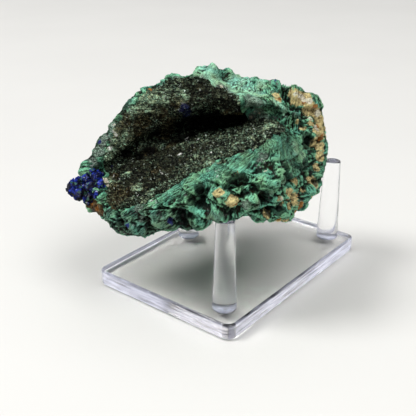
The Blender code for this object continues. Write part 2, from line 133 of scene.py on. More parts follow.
RECESS = [
    (-49.5, 5, 47.6), (-43, 14, 50.5), (-34.5, 22, 54), (-23.5, 30, 56), (-9.5, 38, 58.5), (4, 38, 61.5),
    (16.5, 34, 65.5), (30.5, 23, 70), (46, 20, 59.5), (54, 25, 57),
]
VAULT = [
    (-50.3, 5.5, 49), (-43.3, 12.5, 53.8), (-34.8, 20.5, 58.5), (-23.8, 28, 62.5), (-9.8, 34.5, 66),
    (3, 33, 70.5), (17, 30, 73.5), (31.5, 23, 72.7), (45.8, 20.5, 63), (54, 26, 59.5),
]
LIP = [
    (-51, 5.5, 50.3), (-43.5, 9, 56.5), (-35, 15, 62), (-24, 20, 67), (-9.8, 19, 74.5), (2.3, 18.5, 79),
    (17, 18, 78), (32.5, 21, 75), (45.5, 22, 66), (54, 27, 62),
]
BROW = [
    (-51.7, 7, 51.4), (-45, 10, 60), (-38, 15, 69.5), (-26, 20, 79), (-10, 24, 84.5), (2.5, 27, 85.5),
    (19, 28, 80), (33.5, 28, 78), (46, 27, 71.5), (53, 30, 67),
]
CREST = [
    (-52.5, 10, 51), (-47.5, 16, 61.5), (-40.5, 22, 71.5), (-27.5, 28, 81.5), (-11, 33, 87), (2.5, 36, 90),
    (19, 36, 85), (33.5, 35, 82.5), (45, 34, 77), (52, 35, 70.5),
]
BACK = [
    (-50, 13, 47), (-44, 20, 50), (-36, 31, 54), (-24, 42, 58), (-10, 50, 61), (5, 53, 62), (19, 53, 61),
    (33, 51, 59), (46, 46, 57), (54, 42, 56),
]
HEEL = [
    (-49, 8, 43), (-43, 14, 41.5), (-35, 24, 40), (-23, 36, 40.5), (-9, 45, 42), (5, 47, 42), (19, 47, 41),
    (33, 46, 40.5), (46, 43, 40.5), (56, 40, 41),
]
GUIDES = [KEEL, FOOT, FACE, RIM, FLOOR, CREASE, RECESS, VAULT, LIP, BROW, CREST, BACK, HEEL]

# The lower and upper border of the hollow's crust, as fractions of the way along and around the stone.
CRUST_LOWER = [
    (0.09, 0.300), (0.115, 0.256), (0.145, 0.240), (0.20, 0.240), (0.24, 0.240), (0.27, 0.250),
    (0.32, 0.250), (0.36, 0.272), (0.41, 0.268), (0.45, 0.252), (0.52, 0.246), (0.60, 0.248), (0.66, 0.246),
    (0.71, 0.254), (0.745, 0.300),
]
CRUST_UPPER = [
    (0.09, 0.420), (0.10, 0.545), (0.13, 0.582), (0.17, 0.592), (0.20, 0.598), (0.22, 0.603), (0.26, 0.598),
    (0.31, 0.602), (0.39, 0.610), (0.435, 0.609), (0.47, 0.595), (0.51, 0.574), (0.545, 0.568),
    (0.58, 0.552), (0.61, 0.500), (0.62, 0.450), (0.66, 0.430), (0.745, 0.400),
]

# The crust: the range of places around the stone that its grid covers, the depth of the step that it lies
# in and its thickness in millimetres, the first seed of its masks, and the lip's place around the stone.
CRUST_AROUND = (0.225, 0.645)
CRUST_STEP = 0.8
CRUST_SHELL = 0.6
CRUST_SEED = 130
LIP_AROUND = 0.541

# The root of the large fan of fibres, and the spacing of the small fans, in millimetres.
FAN_ROOT = (31.0, -1.0, 69.0)
SMALL_FAN_CELL = 8.0

# Pits and cracks (height below 0), ridges and knobs (above 0), in millimetres: (points on the surface, half
# width, height).
STROKES = [
    ([(-3, -28, 55), (-3, -31, 49)], 4.2, -5.0),
    ([(9, -30, 58), (15, -28, 60)], 2.8, -3.5),
    ([(7, -33, 49), (12, -33, 48)], 2.6, -2.2),
    ([(30, -17, 62), (33, -18, 55)], 3.0, -3.5),
    ([(21, -28, 46), (28, -25, 44)], 3.4, -3.0),
    ([(19, -29, 55), (24, -28, 49)], 2.8, -2.5),
    ([(36, 34, 83), (36, 29, 78), (38, 25, 73)], 2.8, -4.0),
    ([(-10, -28, 45), (-10, -27, 38)], 4.4, -3.6),
    ([(21.5, 20, 77), (22, 21, 71)], 3.2, 2.6),
    ([(-38, 19, 54), (-31, 14, 53), (-24, 18, 55)], 3.2, -2.6),
    ([(-37, -12, 44)], 6.0, -1.2),
    ([(43, 2, 49)], 4.0, -3.0),
    ([(45, 12, 53)], 6.0, -2.2),
    ([(31, -2, 69), (26, -14, 68), (28, -21, 63), (26, -27, 56)], 3.2, 3.0),
    ([(37, 3, 63), (42, 8, 57)], 5.0, 2.4),
    ([(4, -32, 48)], 4.6, 2.4),
    ([(11, -33, 46), (18, -30, 53)], 2.8, 2.6),
    ([(5, -31, 55)], 3.6, 2.6),
    ([(10, -32, 53)], 4.4, 3.0),
    ([(17, -29, 59), (22, -27, 58)], 5.0, 2.2),
    ([(-38, -22, 37)], 6.5, 2.6),
    ([(-29, -26, 37)], 6.0, 2.4),
    ([(-20, -27, 39)], 5.5, 2.4),
    ([(-33, -20, 44), (-17, -22, 52), (-7, -23, 58)], 4.0, 1.6),
    ([(-4, -23, 60), (3, -20, 64), (13, -16, 67), (27, -8, 70)], 4.0, 1.6),
    ([(50, 6, 45)], 5.0, 3.0),
    ([(43, 31, 78), (51, 31, 72)], 6.0, 1.2),
    ([(3, 34, 90)], 5.0, 1.0),
    ([(-50, -3, 37)], 5.0, 3.4),
    ([(25, 34, 85), (31, 34, 84)], 5.0, 1.4),
    ([(-30, 26, 79)], 7.0, 1.4),
]

# Small holes and slits, too fine for the solids, in the same way.
FINE_STROKES = [
    ([(7.5, -26.5, 61), (12, -26, 62)], 1.2, -1.6),
    ([(18, -26.5, 62), (22, -26.5, 62)], 0.8, -1.0),
    ([(28, -25, 51), (30, -22.5, 47)], 1.2, -1.2),
    ([(-15.5, -27.5, 42), (-14, -27, 38)], 1.6, -1.2),
    ([(-36, -24, 39)], 1.8, -1.4),
    ([(-47.6, 7, 48.6)], 2.4, -1.8),
    ([(21.6, -27.6, 52.6), (23, -27, 50)], 1.6, -1.4),
    ([(-31, -27, 42), (-24, -27, 40), (-18, -27, 40)], 0.9, -1.4),
    ([(-40, -23, 40), (-34, -26, 38)], 0.9, -1.2),
    ([(-26, -26, 45), (-18, -26, 47)], 0.8, -1.1),
]

# Soft corrections of the stone's outline, in the same way.
BROAD_STROKES = [
    ([(-15, 32.7, 85.4), (-12, 36, 84)], 5.0, 1.4),
    ([(-7, 32, 88)], 5.0, -5.0),
    ([(-2, 33, 89.5)], 4.0, -2.4),
    ([(7, 31.4, 88.2)], 5.0, -3.0),
    ([(14, 33, 86)], 8.0, -2.0),
    ([(-30, 26, 79), (-22, 27, 83)], 7.0, -1.0),
    ([(-54, 8, 49)], 5.5, 5.0),
    ([(-51, 11, 55), (-48, 16, 59)], 5.5, 1.4),
    ([(-50.5, -6, 38)], 4.0, 2.6),
    ([(21, 31, 71), (26, 25, 72)], 6.0, 3.6),
    ([(8, 21, 75), (14, 20.5, 75.5)], 5.0, 6.0),
    ([(42.6, 0, 36.8), (44, -1, 43)], 5.0, 2.6),
    ([(-22, -26, 38), (-10, -25, 36)], 5.0, -1.4),
]

# Where each mineral shows, and where light and shade are painted: (along, deep, high, radius) in millimetres.
SPOTS = {
    "mint": [
        (0.6, -22.7, 63.5, 5), (-3, -23.4, 60.4, 4), (-7, -24, 58.4, 4), (-12, -23, 55.5, 3.5),
        (-17, -23, 52, 3), (4, -21, 64.7, 4), (13, -17.4, 67, 3.5), (19, -15, 69, 3), (26, -13, 71, 3.5),
        (30, -11, 72, 4), (12.7, -24.6, 62, 4), (6.8, -27.7, 59.7, 4), (3, -27.3, 58.3, 4),
        (-34.6, 20, 78, 2.5), (-13, 31, 86, 3), (-3, 33, 89, 4), (2, 31.6, 90.7, 6), (7.5, 32, 88, 5),
        (14.5, 30.5, 83.7, 6), (19, 30, 80, 5), (26, 31, 81, 4), (30.5, -13, 68.7, 4), (37.6, 0.5, 61.5, 6),
        (41.4, 6, 57.5, 4), (10.4, -33, 51, 3), (16.5, -32.7, 52.7, 3.5), (2.6, -32.7, 45, 3.5),
        (43, 14, 62, 4), (22, -27, 58, 4), (36, -6, 60, 4), (33, -7, 63, 5), (34, -4, 61, 5),
        (40, 3, 59, 6), (30, -9, 66, 4),
    ],
    "tan": [
        (4.5, -32, 55.6, 2.4), (10, -33, 53, 3.0), (9, -33.5, 51.5, 2.2), (41, 29, 76.7, 4),
        (39.4, 31, 78, 3), (44, 29, 77, 3.5), (47.4, 27, 74, 2.5), (50.5, 28, 70, 3.4), (52.5, 28, 66, 3),
        (53.3, 25, 61.5, 3), (33.5, -19, 49.6, 3), (40, -4.4, 38, 2.5), (31.2, 27.6, 78.3, 2.4),
        (32, 24.1, 77, 2), (52.2, 19.6, 56, 2), (36.8, -10, 51.3, 2.5), (35.5, -17, 45.6, 3),
        (47.2, 3, 44.4, 3), (46.2, 1.3, 42, 3), (32, -19, 38.3, 2.4), (28.8, -21, 39.3, 2.2),
        (41, 21, 68, 1.6), (42.8, 20.3, 65, 1.6), (24.2, -25, 43.5, 2.4), (51.4, 38, 69.7, 4),
        (46.8, 23.5, 66.7, 1.6), (29, -24.3, 50, 1.4), (30, -22.7, 47.4, 1.4), (54, 33, 60, 5),
        (50, 40, 50, 5), (45, 44, 66, 5), (46, 10, 37, 4), (42.7, 28.5, 77, 3.5), (45.9, 27.5, 76, 3),
        (48.2, 26, 74, 3.5), (50.4, 27.6, 69, 3.5), (52.3, 26, 65.8, 4), (52.8, 22.5, 62.6, 3.5),
        (50, 21.8, 63.7, 2.5), (45.4, 27.2, 70.7, 3), (48.9, 19, 58.6, 2.6), (52, 19.5, 56.4, 3),
        (51, 18, 51.7, 2.6), (49, 13.3, 48.7, 2.2), (45.8, 3, 47, 2.4), (41.4, -6.5, 46, 2.2),
        (37.6, -12.8, 46, 2), (33.9, -21, 45.5, 1.8),
    ],
    # Pale malachite on the crest, partly painted top light.
    "frost_and_top_light": [
        (-3.7, 30, 86.3, 5), (-1, 28, 85, 5), (3, 27, 86, 5), (0, 35, 89, 5), (-6, 30, 86, 4),
        (-2, 26, 84.5, 4), (-0.3, 31.9, 88.4, 4), (3, 31, 89, 4), (6, 28.4, 85, 4.5), (9.9, 28.3, 82.3, 5),
        (13.5, 31.6, 83.3, 5), (17.7, 30.5, 81, 4), (20.7, 28.8, 79.4, 4), (24.2, 26.7, 79, 3),
        (31.4, 23.3, 77, 3), (19.7, 18, 78.2, 3.5), (23, 26, 72, 3), (26, 23.5, 69.5, 2.5),
        (20, 31.5, 67, 2.5), (23.7, 18.7, 77, 3), (17, 33, 84.7, 4), (24.5, 31.2, 83.6, 3),
        (14.4, 19.4, 79, 3.5), (10.5, 23.2, 80.8, 3.5), (34.1, 21.5, 72.7, 2.5), (41.4, 6, 58, 3),
        (37, 2, 62, 3), (10, 42, 84, 5), (24, 42, 80, 5),
    ],
    "orange": [
        (8.4, -26.2, 60.6, 1.0), (10, -25.9, 60.8, 1.1), (11.4, -25.6, 61.2, 0.9), (52, 25, 68, 2),
        (51, 23, 66, 1.6), (49, 27, 73, 1.6), (44, 28, 75, 1.4), (47, 26, 71, 1.3), (36, -14, 45, 1.4),
        (39, -8, 44, 1.5), (40, -4.3, 37.6, 1.8), (37, -8.5, 35.8, 2.2), (32.1, 25.8, 77.3, 1.5),
        (30.2, -21.3, 39.9, 1.8), (10.4, -33.3, 51.3, 1.2), (-25.7, 21.6, 82.1, 2.2), (51.8, 23, 60, 2),
        (-42, -4, 47, 2), (-29, -8, 49.5, 2), (-47, -10, 39, 1.6), (-49.5, -7, 39.5, 1.2),
    ],
    "cream": [
        (-44.6, 1.7, 47, 1.6), (-43.8, -2, 46.6, 1.6), (-46, 3.4, 47.2, 1.4), (-42.6, 15, 68.4, 0.8),
        (-41.4, 12.8, 66.1, 0.7), (-40.8, 11.6, 63.2, 0.9), (-43.7, 11.6, 62.1, 0.6),
        (-43.7, 9.5, 59.5, 0.8), (-42.2, 12.2, 64.3, 0.6), (-46, 9.6, 52.5, 1.2), (20.8, 31, 66.4, 2.2),
        (20, -26, 61.7, 0.8), (21.6, -26.3, 61.7, 0.8), (42.7, 28.5, 77, 2), (46, 27.5, 76, 1.8),
        (50.4, 27.6, 70, 1.8), (6.3, 24.6, 82.9, 1.0), (22, 27, 70, 1.2), (23.6, 24.2, 70.4, 0.9),
        (21, 29, 68.5, 0.9), (25, 22, 69, 0.8), (40, 27.8, 79, 1.6), (43.6, 27.6, 76.2, 1.6),
        (47.2, 24.4, 68.6, 1.4), (50, 22.2, 64.2, 1.4), (29, -24, 50, 1.2), (24.4, -24.7, 44, 1.4),
    ],
    "rust": [
        (-48.5, -8.8, 39.5, 3.5), (-46, -11.6, 39, 3.5), (-50.7, -5, 39, 3), (-44.6, -12.8, 38.2, 2.4),
        (-38, -15.4, 43.4, 3.5), (-36.6, -13, 44, 3.5), (-41, -10.6, 44, 2.5), (23, -24, 47, 2),
        (10, 46, 50, 8), (-20, 42, 52, 7), (35, 48, 62, 6),
    ],
    "blue": [
        (-15.2, -27.2, 40.7, 2), (-14.1, -26.6, 39, 1.8), (-33.2, -26.7, 39, 1.5), (-47.7, 13.7, 61, 1.6),
        (-52.8, 10, 51.8, 1.8), (-50.5, 12.6, 55.4, 1.6), (-53.2, 7.3, 48.3, 2.2), (30, 34, 84, 1.2),
        (31.3, 32.5, 84, 0.8), (-9.3, 22.5, 72.3, 2.6), (-10.6, 18.8, 75.2, 2.4), (-6.8, 35, 66.5, 2.4),
        (11.5, 34, 69.7, 1.6), (14.2, 34, 70.6, 1.8), (-51.5, 10, 54, 1.4), (-53, 8.5, 50.5, 1.4),
        (-49, 14, 58, 1.0), (-43.1, 12, 49, 1.2), (-10, 30, 69, 2.5), (20, 52, 70, 4), (-36, 33, 62, 4),
    ],
    "grey": [
        (21.7, -18.7, 65.2, 2.5), (-48, 10, 58, 2.4), (-45, 13, 63, 2), (-43, 14, 67, 2.5),
        (15, -32, 50.4, 2.5), (6.2, 22.4, 81.8, 3), (-4, 25.6, 85.7, 4), (19.6, 18.4, 78.4, 4),
        (17.3, 23.4, 79.3, 3), (22, 18, 77, 3), (-12, 27, 85, 4), (24.9, 25.3, 68, 3),
        (-29.5, -23.5, 46.2, 2.5), (-22, 22, 83, 4), (10, 40, 84, 6), (30, 44, 74, 6),
        (-27, -26, 41.4, 1.5), (6.3, 24.6, 82.9, 3), (8, 21.7, 81.2, 2.5), (21, 29, 68.5, 3),
        (23, 24.8, 71.2, 3), (24.8, 22.1, 69.1, 3), (-49, 10.5, 57, 3), (-47, 13, 62, 3), (-44, 16, 68, 3),
        (-51, 8, 53, 2.5),
    ],
    # Partly painted shade: patches made greyer and darker, mostly low on the stone's front.
    "dull_and_shaded": [
        (-27, -26, 41.4, 6), (-15.6, -27.3, 38.1, 6), (-9.2, -24.4, 36.2, 6), (-36.2, -24.2, 36.6, 6),
        (-33, -25, 38, 6), (-20, -27, 42, 5), (-24, -26, 37, 6), (-42, -19, 38, 5), (-12, -27, 43, 5),
        (2, -32, 44, 4), (24, -28, 54, 3), (30, -21, 56, 3), (20, -30, 50, 3), (40, 0, 46, 4),
        (-49, 12, 60, 4), (-46, 15, 64, 4), (-36, 22, 74, 5), (9, 22, 80.4, 3.5), (12, 21, 78.5, 3.5),
        (15, 20.5, 76.5, 3), (7, 24, 82, 3), (41, 22, 71, 4), (38, 15, 70, 4),
    ],
    # Painted shade: dark spots, also dug into the stone as pits.
    "dark": [
        (-3.3, -24, 53.5, 3.5), (-3.4, -26, 48.2, 3.5), (-1.8, -24.5, 50, 3), (-6.3, -27, 50, 2.5),
        (10.9, -26.4, 58.3, 3), (13.9, -25.8, 59.8, 2.5), (8.9, -31, 47.4, 2.4), (11.7, -31.6, 48.8, 2),
        (22.5, -27, 50.4, 3), (25, -24.5, 44.5, 3), (31.2, -15, 58.7, 3.5), (33.2, -15, 54.8, 3),
        (29, -22, 62, 2), (49.3, 3.8, 47, 2.4), (46.6, 3.3, 45.5, 2.4), (-10.8, -24, 42.4, 3),
        (-9.8, -24, 39.2, 3), (43.3, 4.7, 53.2, 3.5), (41, 0, 52.6, 3), (45.5, 18, 60, 4),
        (36.5, 30, 77.3, 1.4), (37.6, 27, 74.3, 1.6), (-39.7, -23, 37, 2), (-36.8, -24, 39.2, 2),
        (-47.6, 7.3, 48.5, 2.5), (29, -23, 45, 3),
    ],
}

# Colour zones of the hollow's crust, with the deep recess painted as shade: (along, deep, high, radius) in
# millimetres.
CRUST_SPOTS = {
    "pale": [
        (-49, 10, 57, 4), (-47, 12, 61, 4), (-45, 15, 66, 4), (-46, 11, 60, 4), (-44, 14, 66, 4),
        (-41, 16, 70, 4), (-47, 9, 55, 4), (-26, 19, 79.6, 6), (-22.5, 19, 78.6, 5), (-28, 18, 76.7, 5),
        (-30, 19, 79.5, 5), (-24, 19, 75, 4), (-27, 20.7, 81.5, 4), (-37, 13, 62, 5), (-45, 9, 58, 5),
        (-43, 12, 64, 5), (19.6, 31.7, 66, 3), (-0.3, -20, 63, 3), (-44, 0, 47, 4), (12, 0, 64, 3),
        (-42, 6, 55, 4), (-12, 20, 80, 4), (-30, -10, 48, 3), (-24, -16, 50, 3), (-36, 4, 48, 3),
        (26, 6, 69, 4), (28, 14, 68, 4), (20, -4, 67, 3), (18, 4, 66, 3), (24, -4, 69, 3), (-24, 17, 79, 4),
        (-19, 19, 80, 4), (-33, 17, 74, 4), (-34, 16, 77, 3),
    ],
    "brown": [
        (-17.5, 23.5, 68, 5), (-20.5, 30.5, 61, 6), (-21.4, 19.5, 73, 4), (-12, 19, 76.5, 4),
        (-37, 16, 70, 4), (-39, 14.5, 68, 4), (-15, 19.7, 78, 3), (-16, 20.5, 56.6, 4), (-27, 20, 54.5, 4),
        (-37.5, -9.4, 44.6, 5), (-38, -13, 44, 5), (10, 37, 65, 4), (-31, -8, 49, 1.6), (-41, -4, 47, 3),
        (-6, 36, 64, 5), (-30, 19, 70, 5), (-33, 15, 63, 4), (15, 32, 68, 4), (13, 20, 73, 3),
        (9, 20, 73, 3), (-43, 4, 49, 4), (-34, -9, 46, 3), (-41, 13, 65, 3), (-22, -1, 52, 3),
    ],
    "blue": [
        (-9.3, 22.5, 72.3, 2.6), (-10.6, 18.8, 75.2, 2.4), (-6.8, 35, 66.5, 2.6), (11.5, 34, 69.7, 1.8),
        (14.2, 34, 70.6, 2.0), (-43.1, 12, 49, 1.0), (-10, 28, 70, 2.6), (11, 18.5, 76, 1.4),
    ],
    # Painted shade: the deep recess, darkened almost to black.
    "black_and_recess_shade": [
        (-12, 33, 64, 6), (-6, 37, 64, 7), (0, 36, 64, 7), (5, 36, 66, 6), (10, 36, 66, 5), (15, 34, 67, 5),
        (-1, 29, 61, 5), (6, 30, 62, 5), (-8, 26, 60, 4), (-18, 27, 60, 4), (-27, 20, 54, 4),
        (-32, 18, 52.5, 3), (-38, 21, 52.7, 3.5), (13, 28, 64, 4), (-13, 24, 58, 4), (-3, 30, 72, 4),
        (-24, 26, 60, 4),
    ],
    "dim": [
        (-30, 14, 52, 7), (-22, 14, 54, 7), (-41, 3, 48, 4), (-25, -14, 49, 4), (-34, 10, 50, 6),
        (-36, 12, 56, 5), (-33, 15, 60, 5), (-28, 18, 62, 5), (-26, -12, 48.5, 5), (-18, -8, 53, 5),
        (-32, -12, 46.5, 4), (0, 8, 61, 5), (-16, -2, 53.5, 6), (-30, 5, 49.5, 8), (-20, 2, 52, 7),
        (-15, 10, 55, 6), (-28, 12, 51, 6), (-11, -1, 56, 5), (-34, -4, 48, 6), (-9, 22, 80, 6),
        (-3, 22, 82, 5), (3, 22, 80, 5), (-25, -6, 50, 5), (-6, 8, 58.5, 5), (9, 20, 78, 5),
        (15, 20, 76, 5),
    ],
    # White crystals, partly painted glints.
    "white": [
        (-15.6, 8.5, 55.4, 0.9), (-12.4, 6.5, 56.5, 1.3), (-9.5, 24, 58.5, 0.9), (-4, 20, 60, 0.7),
        (-29, -17, 48, 0.8), (-20, -5, 52.5, 0.7), (2, -3, 61, 0.7), (16, -3, 66, 0.8), (-44.5, 1, 47, 1.2),
        (-42, 13, 66, 1.0), (-41.0, 12.2, 64.5, 0.9), (-43.7, 11.6, 62.1, 0.8), (-43.7, 9.5, 59.5, 0.8),
        (-45.5, 12, 63, 0.7),
    ],
}

# Azurite: rounded lumps, (along, deep, high, radius) in millimetres.
AZURITE_LUMPS = [
    (-57.6, -2.0, 44.9, 3.9),
    (-56.2, 0.2, 46.2, 2.8),
    (-56.3, -3.3, 42.2, 2.6),
    (-53.5, -2.4, 44.2, 3.3),
    (-51.8, -5.8, 41.4, 2.6),
    (-50.3, -3.9, 45.7, 3.0),
    (-52.5, -0.3, 47.6, 2.7),
    (-48.2, -2.0, 49.9, 2.7),
    (-50.3, 1.1, 50.7, 1.8),
    (-46.8, -4.6, 47.7, 2.0),
    (-48.5, -6.7, 44.3, 2.0),
]


# ---------------------------------------------------------------- settings


def colour_setting(name, description, default):
    """A colour that the panel shows."""
    return FloatVectorProperty(
        name=name, description=description, subtype="COLOR", size=3, min=0.0, max=1.0, default=default
    )


def amount_setting(name, description, default, unit="NONE", low=0.0):
    """A number that the panel shows."""
    return FloatProperty(name=name, description=description, default=default, unit=unit, min=low)


def count_setting(name, description, default, low=0):
    """A whole number that the panel shows."""
    return IntProperty(name=name, description=description, default=default, min=low)


class StoneSettings(bpy.types.PropertyGroup):
    """The stone's grid, the height of its relief, and the colours of its minerals"""

    rings: count_setting("Rings", "Cross sections along the stone", 326, low=40)
    sides: count_setting("Sides", "Points around each cross section", 300, low=40)
    nodules: amount_setting("Nodules", "Height of the small rounded bumps, in millimetres", 1.0)
    fibres: amount_setting("Fibres", "Height of the fibrous ridges, in millimetres", 0.7)
    deep_green: colour_setting("Deep Green", "Malachite in its seams", (0.010, 0.028, 0.019))
    green: colour_setting("Green", "Malachite over most of the stone", (0.056, 0.165, 0.102))
    mint: colour_setting("Mint", "Fibrous malachite on the rim", (0.21, 0.53, 0.35))
    tan: colour_setting("Tan", "Host rock", (0.74, 0.58, 0.27))
    cream: colour_setting("Cream", "Pale host rock", (0.84, 0.76, 0.58))
    orange: colour_setting("Orange", "Iron-stained host rock", (0.42, 0.16, 0.03))
    rust: colour_setting("Rust", "Brown iron oxide", (0.13, 0.062, 0.022))
    grey: colour_setting("Grey", "Chalky malachite", (0.20, 0.27, 0.22))
    # Partly painted light: the crest is made paler where light falls from above.
    frost_and_top_light: colour_setting("Frost", "Pale dusty malachite on the crest", (0.36, 0.68, 0.50))
    blue: colour_setting("Blue", "Azurite stains", (0.018, 0.022, 0.17))


class CrustSettings(bpy.types.PropertyGroup):
    """The grid and the crystals of the hollow's crust, and their colours"""

    rows: count_setting("Rows", "Grid lines along the crust", 210, low=20)
    columns: count_setting("Columns", "Grid lines across the crust", 130, low=20)
    crystals: count_setting("Crystals", "How many crystals line the hollow", 32800)
    crystal_size: amount_setting(
        "Crystal Size", "Usual half width of a crystal, in millimetres", 0.34, low=0.05
    )
    black_and_recess_shade: colour_setting("Black Green", "Darkest crystals", (0.006, 0.009, 0.007))
    green: colour_setting("Grey Green", "Most of the crystals", (0.049, 0.062, 0.041))
    pale: colour_setting("Pale Green", "Crystals of the upper wall", (0.20, 0.27, 0.19))
    brown: colour_setting("Brown", "Iron-stained crystals", (0.080, 0.060, 0.027))
    blue: colour_setting("Blue", "Azurite crystals in the recess", (0.012, 0.02, 0.13))


class AzuriteSettings(bpy.types.PropertyGroup):
    """The azurite's small crystals and its colours"""

    crystals: count_setting("Crystals", "How many small crystals cover the lumps", 132)
    # Dark Blue is painted seam shade and Bright Blue a painted edge highlight; Blue is the azurite's own
    # colour.
    dark: colour_setting("Dark Blue", "Azurite in its seams", (0.001, 0.001, 0.006))
    blue: colour_setting("Blue", "Azurite", (0.002, 0.006, 0.060))
    bright: colour_setting("Bright Blue", "Azurite on its edges", (0.016, 0.042, 0.42))


class StandSettings(bpy.types.PropertyGroup):
    """Sizes of the plate and its pegs, and the looks of their acrylic"""

    corner: amount_setting("Corner", "Radius of the plate's corners", 4.4 * MM, unit="LENGTH")
    edge: amount_setting("Edge", "Radius of the plate's top and bottom edges", 1.2 * MM, unit="LENGTH")
    peg_base: amount_setting("Peg Base", "Radius of a peg at its foot", PEG_FOOT_RADIUS * MM, unit="LENGTH")
    peg_top: amount_setting("Peg Top", "Radius of a peg at its top", PEG_TOP_RADIUS * MM, unit="LENGTH")
    # Painted light: the edges glow by emission, with no lamp behind it.
    edge_glow: colour_setting("Edge Glow", "Light that the cut edges give back", (0.80, 0.83, 1.0))
    tint: colour_setting("Tint", "What the acrylic's thickness leaves of white light", (0.84, 0.80, 0.79))
    tint_density: amount_setting("Tint Density", "How fast the tint deepens, per metre", 7.0)


class StageSettings(bpy.types.PropertyGroup):
    """The floor's colour and the strength of every light"""

    floor: colour_setting("Floor", "Plain pale floor", (0.735, 0.730, 0.712))
    key_light: amount_setting("Key Light", "Power of the soft light to the left", 58.0, unit="POWER")
    fill_light: amount_setting("Fill Light", "Power of the soft light in front", 34.0, unit="POWER")
    walls: amount_setting("Walls", "Brightness of the room's walls", 0.18)
    ceiling: amount_setting("Ceiling", "Brightness of the room's ceiling", 1.0)


# ---------------------------------------------------------------- noise


def lattice(cells, seed):
    """Fixed random numbers from 0 to 1, one for each whole-number cell."""
    mixed = cells[..., 0] * 374761393 + cells[..., 1] * 668265263 + cells[..., 2] * 1440662683 + seed * 97531
    mixed = mixed & 0xFFFFFFFF
    mixed = ((mixed ^ (mixed >> 13)) * 1274126177) & 0xFFFFFFFF
    return (mixed ^ (mixed >> 16)) / 4294967295.0


def smooth_noise(points, cell, seed):
    """Blended lattice noise from -1 to 1 with features about one cell across."""
    scaled = points / cell
    base = np.floor(scaled).astype(np.int64)
    part = scaled - base
    part = part * part * (3.0 - 2.0 * part)
    total = np.zeros(points.shape[:-1])
    for corner in np.ndindex(2, 2, 2):
        weight = np.prod(np.where(np.array(corner) == 1, part, 1.0 - part), axis=-1)
        total += weight * lattice(base + np.array(corner), seed)
    return total * 2.0 - 1.0


def wandering(points, cell, seed):
    """Three noises side by side, one for each direction, that warp the points they are added to."""
    return np.stack([smooth_noise(points, cell, seed + k) for k in range(3)], axis=-1)


def lattice_vectors(cells, seeds):
    """Fixed random vectors from 0 to 1, one for each cell, with a seed for each direction."""
    return np.stack([lattice(cells, seed) for seed in seeds], axis=-1)


def cells_around(points, cell, seeds):
    """The 27 cells around each point: yields cells, their scattered centres and the ways from the centres."""
    scaled = points / cell
    base = np.floor(scaled).astype(np.int64)
    for step in np.ndindex(3, 3, 3):
        cells = base + np.array(step) - 1
        centre = cells + lattice_vectors(cells, seeds)
        yield cells, centre, scaled - centre


def knobs(points, cell, seed, share=1.0):
    """Rounded bumps around scattered centres: 1 on a centre and 0 in the seams.

    The height falls with the square of the distance to the nearest centre; share is the part of centres kept.
    """
    nearest = np.full(points.shape[:-1], np.inf)
    for cells, _, away in cells_around(points, cell, (seed + 11, seed + 23, seed + 37)):
        distance = (away**2).sum(-1)
        if share < 1.0:
            distance = np.where(lattice(cells, seed + 53) < share, distance, np.inf)
        nearest = np.minimum(nearest, distance)
    return np.clip(1.0 - nearest / 0.8, 0.0, 1.0)


def facets(points, cell, seed):
    """Broken planes, about -1 to 1: each point is as high as the tilted plane of its nearest centre."""
    nearest = np.full(points.shape[:-1], np.inf)
    height = np.zeros(points.shape[:-1])
    for cells, _, away in cells_around(points, cell, (seed + 11, seed + 23, seed + 37)):
        distance = (away**2).sum(-1)
        tilt = lattice_vectors(cells, (seed + 41, seed + 43, seed + 47)) - 0.5
        plane = 1.6 * (away * tilt).sum(-1) + lattice(cells, seed + 59) - 0.5
        height = np.where(distance < nearest, plane, height)
        nearest = np.minimum(nearest, distance)
    return height


def torn(points, cell, seed, octaves):
    """Torn ridges: the crest lines of noise, each finer octave strongest on the crests of the one before."""
    total, weight, size = np.zeros(points.shape[:-1]), 1.0, 1.0
    for k in range(octaves):
        crest = (1.0 - np.abs(smooth_noise(points, cell / 2.1**k, seed + k))) ** 2 * weight
        total += size * crest
        weight = np.clip(1.6 * crest, 0.0, 1.0)
        size *= 0.6
    return total


def blurred(field, rings, sides):
    """The mean of a ring x side grid over a box, closed around the sides."""
    total = sum(np.roll(field, step, axis=1) for step in range(-sides, sides + 1)) / (2 * sides + 1)
    padded = np.pad(total, ((rings, rings), (0, 0)), mode="edge")
    return sum(padded[k : k + len(field)] for k in range(2 * rings + 1)) / (2 * rings + 1)


def ease(low, high, value):
    """0 below low, 1 above high and a smooth step between."""
    part = np.clip((value - low) / (high - low), 0.0, 1.0)
    return part * part * (3.0 - 2.0 * part)


def between(rise, full, fade, end, value):
    """A smooth window: 0 below rise, 1 from full to fade and 0 above end."""
    return ease(rise, full, value) * (1.0 - ease(fade, end, value))


def window(along, along_marks, around, around_marks):
    """A smooth window on the stone's grid: one window along it times one around it."""
    return between(*along_marks, along)[:, None] * between(*around_marks, around)[None, :]


# ---------------------------------------------------------------- the stone's form


def knot_places(lines, closed):
    """Mean distances along rows of points (lines x points x 3), as fractions of the whole."""
    onward = np.roll(lines, -1, axis=1) if closed else lines[:, 1:]
    start = lines if closed else lines[:, :-1]
    places = np.concatenate([[0.0], np.cumsum(np.linalg.norm(onward - start, axis=2).mean(0))])
    return places / places[-1]


